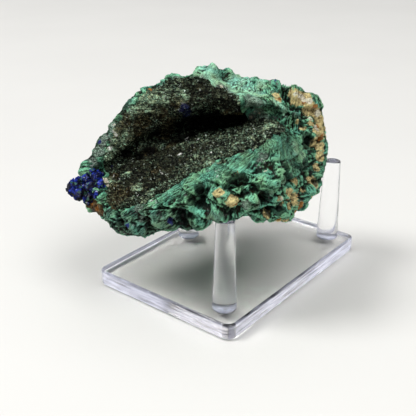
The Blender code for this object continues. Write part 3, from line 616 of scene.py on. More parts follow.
def curve_through(places, values, at, closed):
    """A smooth cubic curve through values set at places, read at the fractions in at.

    Each stretch is the Hermite cubic of its two end values and their slopes.
    """
    if closed:
        ring = np.concatenate([values[-1:], values, values[:2]])
        marks = np.concatenate([[places[-2] - 1.0], places, [1.0 + places[1]]])
        slopes = (ring[2:] - ring[:-2]) / (marks[2:] - marks[:-2])[:, None, None]
        values = ring[1:-1]
    else:
        slopes = np.gradient(values, axis=0)
        slopes[1:-1] = (values[2:] - values[:-2]) / (places[2:] - places[:-2])[:, None, None]
        slopes[0] = (values[1] - values[0]) / (places[1] - places[0])
        slopes[-1] = (values[-1] - values[-2]) / (places[-1] - places[-2])
    i = np.clip(np.searchsorted(places, at, side="right") - 1, 0, len(places) - 2)
    span = (places[i + 1] - places[i])[:, None, None]
    u = (at - places[i])[:, None, None] / span
    start = (2 * u**3 - 3 * u**2 + 1) * values[i] + (u**3 - 2 * u**2 + u) * span * slopes[i]
    end = (3 * u**2 - 2 * u**3) * values[i + 1] + (u**3 - u**2) * span * slopes[i + 1]
    return start + end


def smooth_stone(along, around):
    """Points of the smooth stone, a loft through the guide lines (along x around x 3)."""
    lines = np.array([[STONE_TIP, *guide, STONE_BUTT] for guide in GUIDES], dtype=float)
    rows = curve_through(knot_places(lines, False), lines.transpose(1, 0, 2), along, False)
    ring = knot_places(lines.transpose(1, 0, 2)[1:-1], True)
    return curve_through(ring, rows.transpose(1, 0, 2), around % 1.0, True).transpose(1, 0, 2)


def outward(along, around):
    """Unit normals of the smooth stone: the cross product of small steps both ways."""
    step = 0.004
    ahead, behind = (smooth_stone(np.clip(along + way, 0, 1), around) for way in (step, -step))
    aside = smooth_stone(along, around + step) - smooth_stone(along, around - step)
    normal = np.cross(ahead - behind, aside)
    return normal / np.maximum(np.linalg.norm(normal, axis=-1, keepdims=True), 1e-9)


def hollow_weight(along, around):
    """1 inside the hollow between the rim and the brow, 0 on the outside of the stone."""
    return window(along, (0.04, 0.09, 0.70, 0.78), around, (0.27, 0.30, 0.585, 0.625))


def line_distance(points, line):
    """Distance of every point from a line through the given places; one place makes a very short line."""
    ends = [np.array(p, dtype=float) for p in line]
    if len(ends) == 1:
        ends.append(ends[0] + 0.01)
    nearest = np.full(points.shape[:-1], np.inf)
    for start, end in zip(ends[:-1], ends[1:], strict=True):
        run = end - start
        part = np.clip(((points - start) @ run) / (run @ run), 0.0, 1.0)
        nearest = np.minimum(nearest, np.linalg.norm(points - start - part[..., None] * run, axis=-1))
    return nearest


def stroke_relief(points, strokes, flat=0.15):
    """The heights of all pits and ridges at the points.

    Each is level near its line and fades with distance from it; flat is how far out the level part reaches,
    as a share of the half width.
    """
    total = np.zeros(points.shape[:-1])
    for line, half_width, height in strokes:
        total += height * (1.0 - ease(flat, 1.4 - flat, line_distance(points, line) / half_width))
    return total


def coarse_relief(points, hollow):
    """How far the surface stands out from the smooth stone, in millimetres.

    Outside: knobs of two sizes, low waves and tilted ledges, which give way to more waves on the back. Inside
    the hollow: smaller waves and knobs.
    """
    outside = 2.4 * (knobs(points, 12.0, 1) - 0.45) + 1.5 * (knobs(points, 6.0, 2) - 0.4)
    outside += 1.3 * smooth_noise(points, 17.0, 3)
    slope = points[..., 2] / 8.5 + points[..., 0] / 26.0 + 0.7 * smooth_noise(points, 20.0, 4)
    rear = ease(36.0, 46.0, points[..., 1])
    outside += (1.5 - 1.1 * rear) * (0.5 - (slope - np.floor(slope)) ** 2) - 1.0
    outside += rear * (1.4 * smooth_noise(points, 11.0, 7) - 0.3)
    inside = 1.2 * smooth_noise(points, 10.0, 5) + 0.9 * (knobs(points, 5.0, 6) - 0.4)
    return outside * (1.0 - hollow) + inside * hollow


def from_root(points, root):
    """The way from a root to each point, and its length."""
    away = points - root
    return away, np.linalg.norm(away, axis=-1, keepdims=True)


def fan_ways(points):
    """Coordinates that run with the fibres: directions from a root, drawn out along the fibre's length.

    Returns three sets: small fans, each with a root beside the nearest of scattered centres, then the large
    fan twice, with fibres as wide near its root as far from it, and with finer ones for its far part.
    """
    nearest = np.full(points.shape[:-1], np.inf)
    root = np.zeros(points.shape)
    for cells, centre, away in cells_around(points, SMALL_FAN_CELL, (301, 302, 303)):
        distance = (away**2).sum(-1)
        beside = centre + 2.0 * (lattice_vectors(cells, (304, 305, 306)) - 0.5)
        root = np.where((distance < nearest)[..., None], beside, root)
        nearest = np.minimum(nearest, distance)
    away, length = from_root(points, root * SMALL_FAN_CELL)
    small = away / np.maximum(length, 2.0) * 12.0 + away * 0.12 + root * 31.0
    away, length = from_root(points, FAN_ROOT)
    return small, away / np.maximum(length, 1.0) * 46.0 + away * 0.06, away / length * 100.0 + away * 0.06


def large_fan(points, along, around):
    """1 where the large fan's fibres run: rim, curtain, the lobes under the rim's far end, and left flank."""
    lobes = ease(2.0, 10.0, -points[..., 0]) * between(0.07, 0.10, 0.25, 0.27, around)[None, :]
    return np.maximum(fibre_zone(points, along, around), np.maximum(lobes, left_flank(along, around)))


def far_share(points):
    """0 near the curtain's root and 1 far from it, where finer fibres take over."""
    return ease(30.0, 38.0, from_root(points, FAN_ROOT)[1][..., 0])


def rim_band(along, around):
    """1 on the smooth fibrous band along the hollow's rim."""
    return window(along, (0.10, 0.20, 0.74, 0.80), around, (0.205, 0.235, 0.27, 0.30))


def left_flank(along, around):
    """1 on the flat layered flank above the azurite, between the hollow's border and the back."""
    side = between(0.53, 0.56, 0.70, 0.76, around)
    return side[None, :] * (1.0 - ease(0.22, 0.30, along))[:, None]


def fibre_zone(points, along, around):
    """Where the malachite is fibrous: the rim band and the curtain that hangs from the fan's root."""
    curtain = 1.0 - ease(14.0, 26.0, from_root(points, FAN_ROOT)[1][..., 0])
    return np.maximum(rim_band(along, around), curtain)


def fine_relief(points, along, around, hollow, settings):
    """Nodules, seams, scattered pits and fibres of the bare malachite, in millimetres.

    Torn ridges and facets are drawn out in level layers, in upright ones at the blunt end, and give way to
    rounded knobs in patches. Holes, pits and small facets stand on both. All these are weak on the fibrous
    zones, and weaker at the blunt end and on the crest than elsewhere. Fibres run over everything, and the
    hollow keeps little of it.
    """
    warped = points + 1.2 * wandering(points, 3.4, 61)
    butt = ease(34.0, 43.0, points[..., :1])
    level = np.array((0.6, 0.8, 1.5))
    upright = np.array((1.4, 1.3, 0.45))
    strata = warped * (level + butt * (upright - level))
    ragged = (
        1.4 * (torn(strata, 7.5, 21, 4) - 0.85)
        + 0.6 * facets(warped, 3.2, 22)
        + 0.4 * facets(strata, 1.7, 23)
    )
    lying = warped * (0.32, 0.75, 1.15)
    rounded = 1.2 * (knobs(lying, 3.2, 24) - 0.45) + 0.4 * (knobs(warped, 1.7, 27) - 0.4)
    patches = ease(0.05, 0.45, smooth_noise(points, 16.0, 28))
    botryoidal = np.maximum(patches, 0.6 * ease(2.0, 14.0, -points[..., 0]))
    holes = -1.8 * ease(0.45, 0.9, knobs(warped, 3.8, 29, share=0.16))
    pits = -0.9 * ease(0.3, 0.8, knobs(warped, 1.9, 30, share=0.2))
    zone = fibre_zone(points, along, around)
    small, near, far = (
        smooth_noise(run, 1.0, 25) + 0.7 * smooth_noise(run, 0.5, 26) for run in fan_ways(points)
    )
    distant = far_share(points)
    large = ease(0.2, 0.8, large_fan(points, along, around))
    fibres = small + large * (near + distant * (far - near) - small)
    loose = ragged + botryoidal * (rounded - ragged) + holes + pits + 0.3 * facets(warped, 1.0, 33)
    worn = (1.0 - 0.5 * butt[..., 0]) * (1.0 - 0.35 * ease(74.0, 82.0, points[..., 2]))
    loose = settings.nodules * loose * (1.0 - 0.88 * zone) * worn
    return (loose + settings.fibres * (0.40 + 0.20 * zone) * fibres) * (1.0 - 0.8 * hollow)


def crust_cover(points, along, around):
    """1 where the crust covers the stone and 0 outside it, with a ragged border.

    The distance inside the borders, as fractions, is counted in soft steps and moved in and out by noise.
    """
    lower = np.interp(along, *np.transpose(CRUST_LOWER))
    upper = np.interp(along, *np.transpose(CRUST_UPPER))
    ends = np.minimum(along - CRUST_LOWER[0][0], CRUST_LOWER[-1][0] - along) / 0.016
    sides = np.minimum(around[None, :] - lower[:, None], upper[:, None] - around[None, :]) / 0.008
    ragged = 0.8 * smooth_noise(points, 3.2, 41) + 0.7 * smooth_noise(points, 1.5, 42)
    return ease(-0.3, 1.0, np.minimum(ends[:, None], sides) + ragged)


def centre_of(node):
    """The middle of a solid seen from above, in metres."""
    low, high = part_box(node)
    return np.array([(low.x + high.x) / 2, (low.y + high.y) / 2])


def rest_on_pegs(points):
    """Flattens the bearing spots over two pegs and keeps the stone clear of the leaning peg's side."""
    points = points.copy()
    c, s = math.cos(STONE_TURN), math.sin(STONE_TURN)
    turn = np.array([[c, -s], [s, c]])
    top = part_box("back_peg")[1].z / MM - PLATE_TOP + BEARING_GAP
    for node in PEGS:
        local = (centre_of(node) / MM - (STONE_X, STONE_Y)) @ turn
        away = points[..., :2] - local
        distance = np.linalg.norm(away, axis=-1)
        if node == LEANING_PEG:
            width = np.interp(points[..., 2], [0.0, top], [PEG_FOOT_RADIUS, PEG_TOP_RADIUS])
            clear = np.where(points[..., 2] < top + 1.0, width + SIDE_GAP, 0.0)
            push = np.maximum(clear - distance, 0.0)[..., None]
            points[..., :2] += away / np.maximum(distance, 1e-6)[..., None] * push
        else:
            weight = (1.0 - ease(5.0, 8.5, distance)) * (1.0 - ease(top + 3.0, top + 8.0, points[..., 2]))
            points[..., 2] += weight * (top - points[..., 2])
    return points


def stone_skin(along, around, settings):
    """The bare stone: its smooth loft moved out by the relief. Returns points, relief and normals.

    The coarse relief and the strokes fade at both ends, along the lip, on the rim and on the left flank, and
    the fine relief with the smaller strokes stands on them.
    """
    smooth = smooth_stone(along, around)
    normal = outward(along, around)
    hollow = hollow_weight(along, around)
    relief = coarse_relief(smooth, hollow) + stroke_relief(smooth, STROKES)
    ends = between(0.0, 0.16, 0.86, 1.0, along)
    calm = 1.0 - 0.7 * (1.0 - ease(0.0, 0.04, abs(around - LIP_AROUND)))
    flank = left_flank(along, around)
    relief = relief * ends[:, None] * calm * (1.0 - 0.55 * rim_band(along, around)) * (1.0 - 0.75 * flank)
    points = smooth + normal * relief[..., None]
    close_ends = between(0.0, 0.03, 0.97, 1.0, along)
    pits = [([spot[:3]], 0.75 * spot[3], -0.7 * spot[3]) for spot in SPOTS["dark"]]
    torn_edges = points + wandering(points, 2.0, 64)
    fine = fine_relief(points, along, around, hollow, settings) * (1.0 - 0.5 * flank)
    fine = fine + stroke_relief(points, BROAD_STROKES) + stroke_relief(torn_edges, FINE_STROKES + pits, 0.45)
    fine = fine * close_ends[:, None]
    return points + normal * fine[..., None], fine + relief, normal


def on_stand(points):
    """Points from the stone's own frame in millimetres to the stand's frame in metres."""
    c, s = math.cos(STONE_TURN), math.sin(STONE_TURN)
    x = points[..., 0] * c - points[..., 1] * s + STONE_X
    y = points[..., 0] * s + points[..., 1] * c + STONE_Y
    return np.stack([x, y, points[..., 2] + PLATE_TOP], axis=-1) * MM


def spot_mask(points, spots, seed):
    """1 in the middle of each spot and 0 outside, with a border moved in and out by noise."""
    warped = points + 1.1 * wandering(points, 2.6, seed)
    mask = np.zeros(points.shape[:-1])
    for along, deep, high, radius in spots:
        away = np.linalg.norm(warped - (along, deep, high), axis=-1)
        mask = np.maximum(mask, 1.0 - ease(0.55, 1.25, away / radius))
    return mask


def spot_masks(points, table, seed):
    """A mask for each kind of spot in a table, by its name."""
    return {name: spot_mask(points, spots, seed + 5 * n) for n, (name, spots) in enumerate(table.items())}


# ---------------------------------------------------------------- meshes


def grid_faces(rows, columns, closed):
    """Quads over a rows x columns grid of points; closed joins the last column to the first."""
    i = np.arange(rows - 1)[:, None] * columns
    j = np.arange(columns if closed else columns - 1)[None, :]
    k = (j + 1) % columns
    quads = np.stack([i + j, i + columns + j, i + columns + k, i + k], axis=-1)
    return quads.reshape(-1, 4)


def pole_fans(rows, sides):
    """Triangles that close the first and last ring on two points that follow the grid, one for each end."""
    j = np.arange(sides)
    k = (j + 1) % sides
    last, first_pole = (rows - 1) * sides, rows * sides
    return np.concatenate([
        np.stack([np.full(sides, first_pole), j, k], axis=1),
        np.stack([np.full(sides, first_pole + 1), last + k, last + j], axis=1),
    ])


def capped_faces(rows, sides):
    """Faces of rings stacked from the bottom up, with one flat face to close each end."""
    ends = np.stack([np.arange(sides)[::-1], (rows - 1) * sides + np.arange(sides)])
    return [grid_faces(rows, sides, True)[:, ::-1], ends]


def make_piece(name, points, faces, look, attributes=None, smooth=True):
    """An object from points in metres and a list of face arrays, each with its own number of corners."""
    mesh = bpy.data.meshes.new(name)
    corners = np.concatenate([part.ravel() for part in faces]).astype(np.int32)
    counts = np.concatenate([np.full(len(part), part.shape[1]) for part in faces])
    starts = np.concatenate([[0], np.cumsum(counts)[:-1]]).astype(np.int32)
    mesh.vertices.add(len(points))
    mesh.vertices.foreach_set("co", np.ascontiguousarray(points, dtype=np.float32).ravel())
    mesh.loops.add(len(corners))
    mesh.loops.foreach_set("vertex_index", corners)
    mesh.polygons.add(len(counts))
    mesh.polygons.foreach_set("loop_start", starts)
    mesh.update(calc_edges=True)
    mesh.validate()
    mesh.polygons.foreach_set("use_smooth", np.full(len(mesh.polygons), smooth))
    for label, values in (attributes or {}).items():
        values = np.asarray(values, dtype=np.float32)
        kind, field = ("FLOAT", "value") if values.ndim == 1 else ("FLOAT_VECTOR", "vector")
        mesh.attributes.new(label, kind, "POINT").data.foreach_set(field, values.ravel())
    mesh.materials.append(look)
    obj = bpy.data.objects.new(name, mesh)
    bpy.context.scene.collection.objects.link(obj)
    return obj


def stand_in(piece, node):
    """Puts a finished piece on the body in place of a solid, with its material slot."""
    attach(piece, BODY)
    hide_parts(node)
    return piece


def spread_evenly(density, count):
    """Fractions from 0 to 1 whose spacing follows a density: the inverse of the density's running sum."""
    total = np.concatenate([[0.0], np.cumsum(density)])
    return np.interp(np.arange(count) / count, total / total[-1], np.linspace(0.0, 1.0, len(total)))


def around_stone(count):
    """Places around a section: close on the open side and the crest, wide in the hollow and below."""
    samples = 400
    at = (np.arange(samples) + 0.5) / samples
    density = 1.0 + 1.3 * between(0.08, 0.13, 0.28, 0.31, at)
    density += 0.9 * between(0.50, 0.54, 0.66, 0.72, at)
    density -= 0.35 * between(0.30, 0.33, 0.47, 0.50, at)
    density -= 0.45 * ease(0.76, 0.80, at)
    return spread_evenly(density, count)


def with_ends(field, value):
    """A grid of values in one row, followed by one value for both of the stone's ends."""
    return np.concatenate([field.reshape(-1), [value, value]])


def stone_piece(settings, look):
    """The stone: rings of the skin from tip to butt, closed by a fan of triangles at each end."""
    along = np.linspace(0.0, 1.0, settings.rings + 2)[1:-1]
    around = around_stone(settings.sides)
    skin, relief, normal = stone_skin(along, around, settings)
    cover = crust_cover(skin, along, around)
    skin = rest_on_pegs(skin - normal * (CRUST_STEP * cover)[..., None])
    points = np.concatenate([skin.reshape(-1, 3), [STONE_TIP], [STONE_BUTT]])
    masks = spot_masks(points, SPOTS, 70)
    band = window(along, (0.13, 0.22, 0.66, 0.74), around, (0.222, 0.238, 0.262, 0.285))
    masks["mint"] = np.maximum(masks["mint"], 0.75 * with_ends(band, 0.0))
    # Painted light and shade: how far the relief stands out of its blur, which the material turns into pale
    # crests and dark crevices.
    relief_shading = 0.5 + 0.375 * (relief - blurred(relief, 7, 5)) + 0.9 * (relief - blurred(relief, 2, 2))
    masks["relief_shading"] = with_ends(np.clip(relief_shading, 0.0, 1.0), 0.5)
    masks["fibrous"] = with_ends(fibre_zone(skin, along, around), 0.0)
    large = with_ends(large_fan(skin, along, around), 0.0)[:, None]
    small, near, far = fan_ways(points)
    masks["fibre_way"] = np.where(large < 0.5, small, np.where(far_share(points)[:, None] < 0.5, near, far))
    rings, sides = skin.shape[:2]
    faces = [grid_faces(rings, sides, True), pole_fans(rings, sides)]
    return make_piece("malachite_stone", on_stand(points), faces, look, masks)


def shell_between(outer, inner, kept):
    """A closed shell over the kept cells of a grid: outer sheet, inner sheet turned over, and walls."""
    rows, columns = outer.shape[:2]
    quads = grid_faces(rows, columns, False)[kept.reshape(-1)]
    edges = np.concatenate([quads[:, [0, 1]], quads[:, [1, 2]], quads[:, [2, 3]], quads[:, [3, 0]]])
    size = rows * columns
    codes = edges[:, 0] * size + edges[:, 1]
    border = edges[~np.isin(codes, edges[:, 1] * size + edges[:, 0])]
    walls = np.stack([border[:, 0] + size, border[:, 1] + size, border[:, 1], border[:, 0]], axis=1)
    faces = np.concatenate([quads, quads[:, ::-1] + size, walls])
    used, numbered = np.unique(faces, return_inverse=True)
    points = np.concatenate([outer.reshape(-1, 3), inner.reshape(-1, 3)])[used]
    return points, numbered.reshape(-1, 4)


def crust_sheet(settings, stone):
    """The crust's ground: the stone's skin lifted where the crust covers it, dipping under the stone outside.

    Its grain is knobs of two sizes and noise drawn out along the stone.
    """
    along = np.linspace(CRUST_LOWER[0][0] - 0.02, CRUST_LOWER[-1][0] + 0.02, settings.rows)
    around = np.linspace(*CRUST_AROUND, settings.columns)
    skin, _, normal = stone_skin(along, around, stone)
    cover = crust_cover(skin, along, around)
    grain = 0.55 * (knobs(skin, 2.6, 51) - 0.4) + 0.35 * (knobs(skin, 1.2, 52) - 0.4)
    grain += 0.45 * smooth_noise(skin * (0.28, 0.9, 1.0), 1.4, 53)
    height = (1.05 + grain) * cover - 1.0
    return skin + normal * height[..., None], normal, cover


def crust_piece(settings, stone, look):
    """The hollow's ground as a thin closed shell."""
    outer, normal, cover = crust_sheet(settings, stone)
    low = np.minimum(np.minimum(cover[:-1, :-1], cover[1:, :-1]), np.minimum(cover[:-1, 1:], cover[1:, 1:]))
    points, faces = shell_between(outer, outer - normal * CRUST_SHELL, low > 0.02)
    masks = spot_masks(points, CRUST_SPOTS, CRUST_SEED)
    masks["chance"] = 0.42 + 0.35 * smooth_noise(points, 0.9, 57)
    return make_piece("hollow_ground", on_stand(points), [faces], look, masks)


# Crystal shapes: a block and a four-sided point, in half widths.
BLOCK = np.array([(x, y, z) for z in (-1, 1) for y in (-1, 1) for x in (-1, 1)], dtype=float)
BLOCK_FACES = [np.array([(0, 2, 3, 1), (4, 5, 7, 6), (0, 1, 5, 4), (2, 6, 7, 3), (0, 4, 6, 2), (1, 3, 7, 5)])]
POINT = np.array([(-1, -1, -0.5), (1, -1, -0.5), (1, 1, -0.5), (-1, 1, -0.5), (0, 0, 1)], dtype=float)
POINT_FACES = [np.array([(0, 3, 2, 1)]), np.array([(0, 1, 4), (1, 2, 4), (2, 3, 4), (3, 0, 4)])]


def scattered(shape, shape_faces, places, normals, sizes, tilt, taper, chance):
    """Small crystals of one shape, each leaning from its normal, turned about its own axis, and tapered."""
    count = len(places)
    lean = normals + tilt * chance.normal(size=(count, 3))
    up = lean / np.linalg.norm(lean, axis=1, keepdims=True)
    any_way = chance.normal(size=(count, 3))
    side = np.cross(up, any_way)
    side /= np.linalg.norm(side, axis=1, keepdims=True)
    front = np.cross(side, up)
    shrink = np.where(shape[None, :, 2:3] > 0, taper[:, None, None], 1.0)
    local = shape[None] * sizes[:, None, :] * np.concatenate([shrink, shrink, np.ones_like(shrink)], axis=2)
    axes = np.stack([front, side, up], axis=1)
    corners = places[:, None, :] + np.einsum("nck,nkd->ncd", local, axes)
    step = len(shape) * np.arange(count)[:, None, None]
    return corners.reshape(-1, 3), [(part[None] + step).reshape(-1, part.shape[1]) for part in shape_faces]


def places_on(grid, normals, weight, count, chance):
    """Random places on a grid's cells, in proportion to their area and weight, with the normals there."""
    across = grid[1:, :-1] - grid[:-1, :-1]
    beside = grid[:-1, 1:] - grid[:-1, :-1]
    area = np.linalg.norm(np.cross(across, beside), axis=-1) * weight
    cell = chance.choice(area.size, count, p=(area / area.sum()).reshape(-1))
    i, j = np.divmod(cell, area.shape[1])
    u, v = chance.random((2, count, 1))
    spots = grid[i, j] + across[i, j] * u + beside[i, j] * v
    return spots, normals[i, j]


def crust_crystals(settings, stone, look):
    """The crystals that line the hollow: one pointed shape, set close together over its ground."""
    chance = np.random.default_rng(17)
    outer, normal, cover = crust_sheet(settings, stone)
    weight = np.where(cover[:-1, :-1] > 0.35, 1.0, 0.0)
    count = settings.crystals
    places, normals = places_on(outer, normal, weight, count, chance)
    width = settings.crystal_size * chance.lognormal(0.0, 0.33, (count, 1))
    proportions = ((0.7, 1.1), (0.7, 1.1), (0.9, 1.9))
    sizes = width * np.concatenate([chance.uniform(*limits, (count, 1)) for limits in proportions], axis=1)
    points, faces = scattered(POINT, POINT_FACES, places, normals, sizes, 0.55, np.ones(count), chance)
    masks = spot_masks(places, CRUST_SPOTS, CRUST_SEED)
    # The white crystals, partly painted glints, have a border of their own, so the ground's white spots don't
    # end just where they do.
    masks["white"] = spot_mask(places, CRUST_SPOTS["white"], CRUST_SEED + 15)
    masks["chance"] = chance.random(count)
    masks = {name: np.repeat(values, len(POINT)) for name, values in masks.items()}
    return make_piece("hollow_crystals", on_stand(points), faces, look, masks, smooth=False)


def unit_ball(rows, sides):
    """Points of a sphere of radius 1 over latitude and longitude, with its two poles last."""
    turn = np.linspace(0.0, math.tau, sides, endpoint=False)
    tilt = np.linspace(0.0, math.pi, rows + 2)[1:-1, None]
    level = np.broadcast_to(np.cos(tilt), (rows, sides))
    ring = np.stack([np.sin(tilt) * np.cos(turn), np.sin(tilt) * np.sin(turn), level], axis=-1)
    return np.concatenate([ring.reshape(-1, 3), [(0, 0, 1)], [(0, 0, -1)]])


def azurite_piece(settings, look):
    """The azurite: round lumps moved out by facets and knobs, with small blocky crystals all over them."""
    chance = np.random.default_rng(31)
    rows, sides = 48, 72
    ball = unit_ball(rows, sides)
    quads, caps = grid_faces(rows, sides, True), pole_fans(rows, sides)
    all_points, all_quads, all_caps, relief_shading = [], [], [], []
    places, ways = [], []
    for n, (along, deep, high, radius) in enumerate(AZURITE_LUMPS):
        rough = (along, deep, high) + ball * radius
        relief = 0.6 * facets(rough, 3.2, 91) + 0.25 * facets(rough, 1.3, 92)
        relief += 0.6 * (knobs(rough, 2.8, 93) - 0.45)
        points = rough + ball * relief[:, None]
        all_points.append(points)
        all_quads.append(quads + n * len(ball))
        all_caps.append(caps + n * len(ball))
        # Painted light and shade: the lumps' tips are made lighter and their seams darker.
        relief_shading.append(np.clip(0.5 + relief / 1.4, 0.0, 1.0))
        share = chance.choice(len(points), settings.crystals // len(AZURITE_LUMPS))
        places.append(points[share])
        ways.append(ball[share])
    places, ways = np.concatenate(places), np.concatenate(ways)
    count = len(places)
    sizes = chance.lognormal(-0.85, 0.4, (count, 1)) * np.array([[1.2, 0.5, 1.0]])
    taper = chance.uniform(0.55, 0.95, count)
    blocks, block_faces = scattered(BLOCK, BLOCK_FACES, places, ways, sizes, 0.7, taper, chance)
    all_points.append(blocks)
    all_quads.append(block_faces[0] + len(AZURITE_LUMPS) * len(ball))
    relief_shading.append(np.repeat(0.35 + 0.65 * chance.random(count), len(BLOCK)))
    points = np.concatenate(all_points)
    masks = {"relief_shading": np.concatenate(relief_shading)}
    faces = [np.concatenate(all_quads), np.concatenate(all_caps)]
    return make_piece("azurite_cluster", on_stand(points), faces, look, masks, smooth=False)


def rounded_profile(low, high, radius, steps):
    """An upright edge's outline from bottom to top: (inset, height), with a quarter round at each end."""
    angle = np.linspace(0.0, math.pi / 2, steps)
    inset = radius * (1.0 - np.sin(angle))
    rise = radius * (1.0 - np.cos(angle))
    return np.concatenate([np.stack([inset, low + rise], 1), np.stack([inset, high - rise], 1)[::-1]])


def turned(centre, profile, sides):
    """A profile of (radius, height) turned about an upright axis: rings of points, profile x sides x 3."""
    turn = np.linspace(0.0, math.tau, sides, endpoint=False)
    radius, height = profile[:, :1], profile[:, 1:]
    x = centre[0] + radius * np.cos(turn)
    y = centre[1] + radius * np.sin(turn)
    return np.stack([x, y, np.broadcast_to(height, x.shape)], axis=-1)


def plate_piece(settings, look):
    """The plate: a rounded rectangle carried up a profile with rounded edges, closed by flat ends.

    The attribute straight is 1 at both ends of each corner's arc, and so along the straight sides.
    """
    low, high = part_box("stand_base")
    half = np.array([(high.x - low.x) / 2, (high.y - low.y) / 2])
    quarters = np.array([(1, 1), (-1, 1), (-1, -1), (1, -1)])
    angle = np.concatenate([np.linspace(q, q + 1, CORNER_STEPS) * math.pi / 2 for q in range(len(quarters))])
    signs = np.repeat(quarters, CORNER_STEPS, axis=0)
    centres = centre_of("stand_base") + signs * (half - settings.corner)
    spokes = np.stack([np.cos(angle), np.sin(angle)], axis=1)
    profile = rounded_profile(low.z, high.z, settings.edge, EDGE_STEPS)
    flat = centres[None] + spokes[None] * (settings.corner - profile[:, 0])[:, None, None]
    heights = np.broadcast_to(profile[:, 1][:, None, None], (*flat.shape[:2], 1))
    rings = np.concatenate([flat, heights], axis=2)
    rows, sides = rings.shape[:2]
    ends_of_arc = np.isin(np.arange(sides) % CORNER_STEPS, (0, CORNER_STEPS - 1))
    masks = {"straight": np.tile(ends_of_arc.astype(float), rows)}
    piece = make_piece("clear_plate", rings.reshape(-1, 3), capped_faces(rows, sides), look, masks)
    return stand_in(piece, "stand_base")


def peg_piece(settings, node, look):
    """A peg: a tapered profile with softened ends turned about its axis."""
    low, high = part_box(node)
    base, top, tall = settings.peg_base, settings.peg_top, high.z - low.z
    foot_round, head_round = PEG_FOOT_ROUND * MM, PEG_HEAD_ROUND * MM
    angle = np.linspace(0.0, math.pi / 2, PEG_ROUND_STEPS)
    out, up = 1 - np.sin(angle), 1 - np.cos(angle)
    foot = np.stack([base - foot_round * out, foot_round * up], 1)
    head = np.stack([top - head_round * up, tall - head_round * out], 1)
    rise = foot[-1, 1] + (head[0, 1] - foot[-1, 1]) * np.linspace(0.0, 1.0, PEG_SHAFT_STEPS)[1:-1]
    shaft = np.stack([np.interp(rise, [0.0, tall], [base, top]), rise], 1)
    profile = np.concatenate([[(base * 0.5, 0.0)], foot, shaft, head, [(top * 0.5, tall)]])
    rings = turned(centre_of(node), profile + (0.0, low.z), PEG_SIDES)
    faces = capped_faces(len(profile), PEG_SIDES)
    masks = {"straight": np.ones(len(profile) * PEG_SIDES)}
    piece = make_piece("clear_" + node, rings.reshape(-1, 3), faces, look, masks)
    return stand_in(piece, node)


def joint_piece(settings, node, look):
    """The cement that holds a peg, coloured as painted glow: a thin disc at its foot, just inside the clear
    acrylic.
    """
    low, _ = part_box(node)
    radius = settings.peg_base - CEMENT_INSET * MM
    profile = np.array([(radius, low.z + height * MM) for height in CEMENT_LEVELS])
    rings = turned(centre_of(node), profile, CEMENT_SIDES)
    faces = capped_faces(len(profile), CEMENT_SIDES)
    piece = make_piece("cement_glow_" + node, rings.reshape(-1, 3), faces, look)
    return stand_in(piece, node)


# ---------------------------------------------------------------- node building


def shade(colour, amount):
    """A colour made darker or lighter, up to full."""
    return tuple(min(1.0, part * amount) for part in colour)


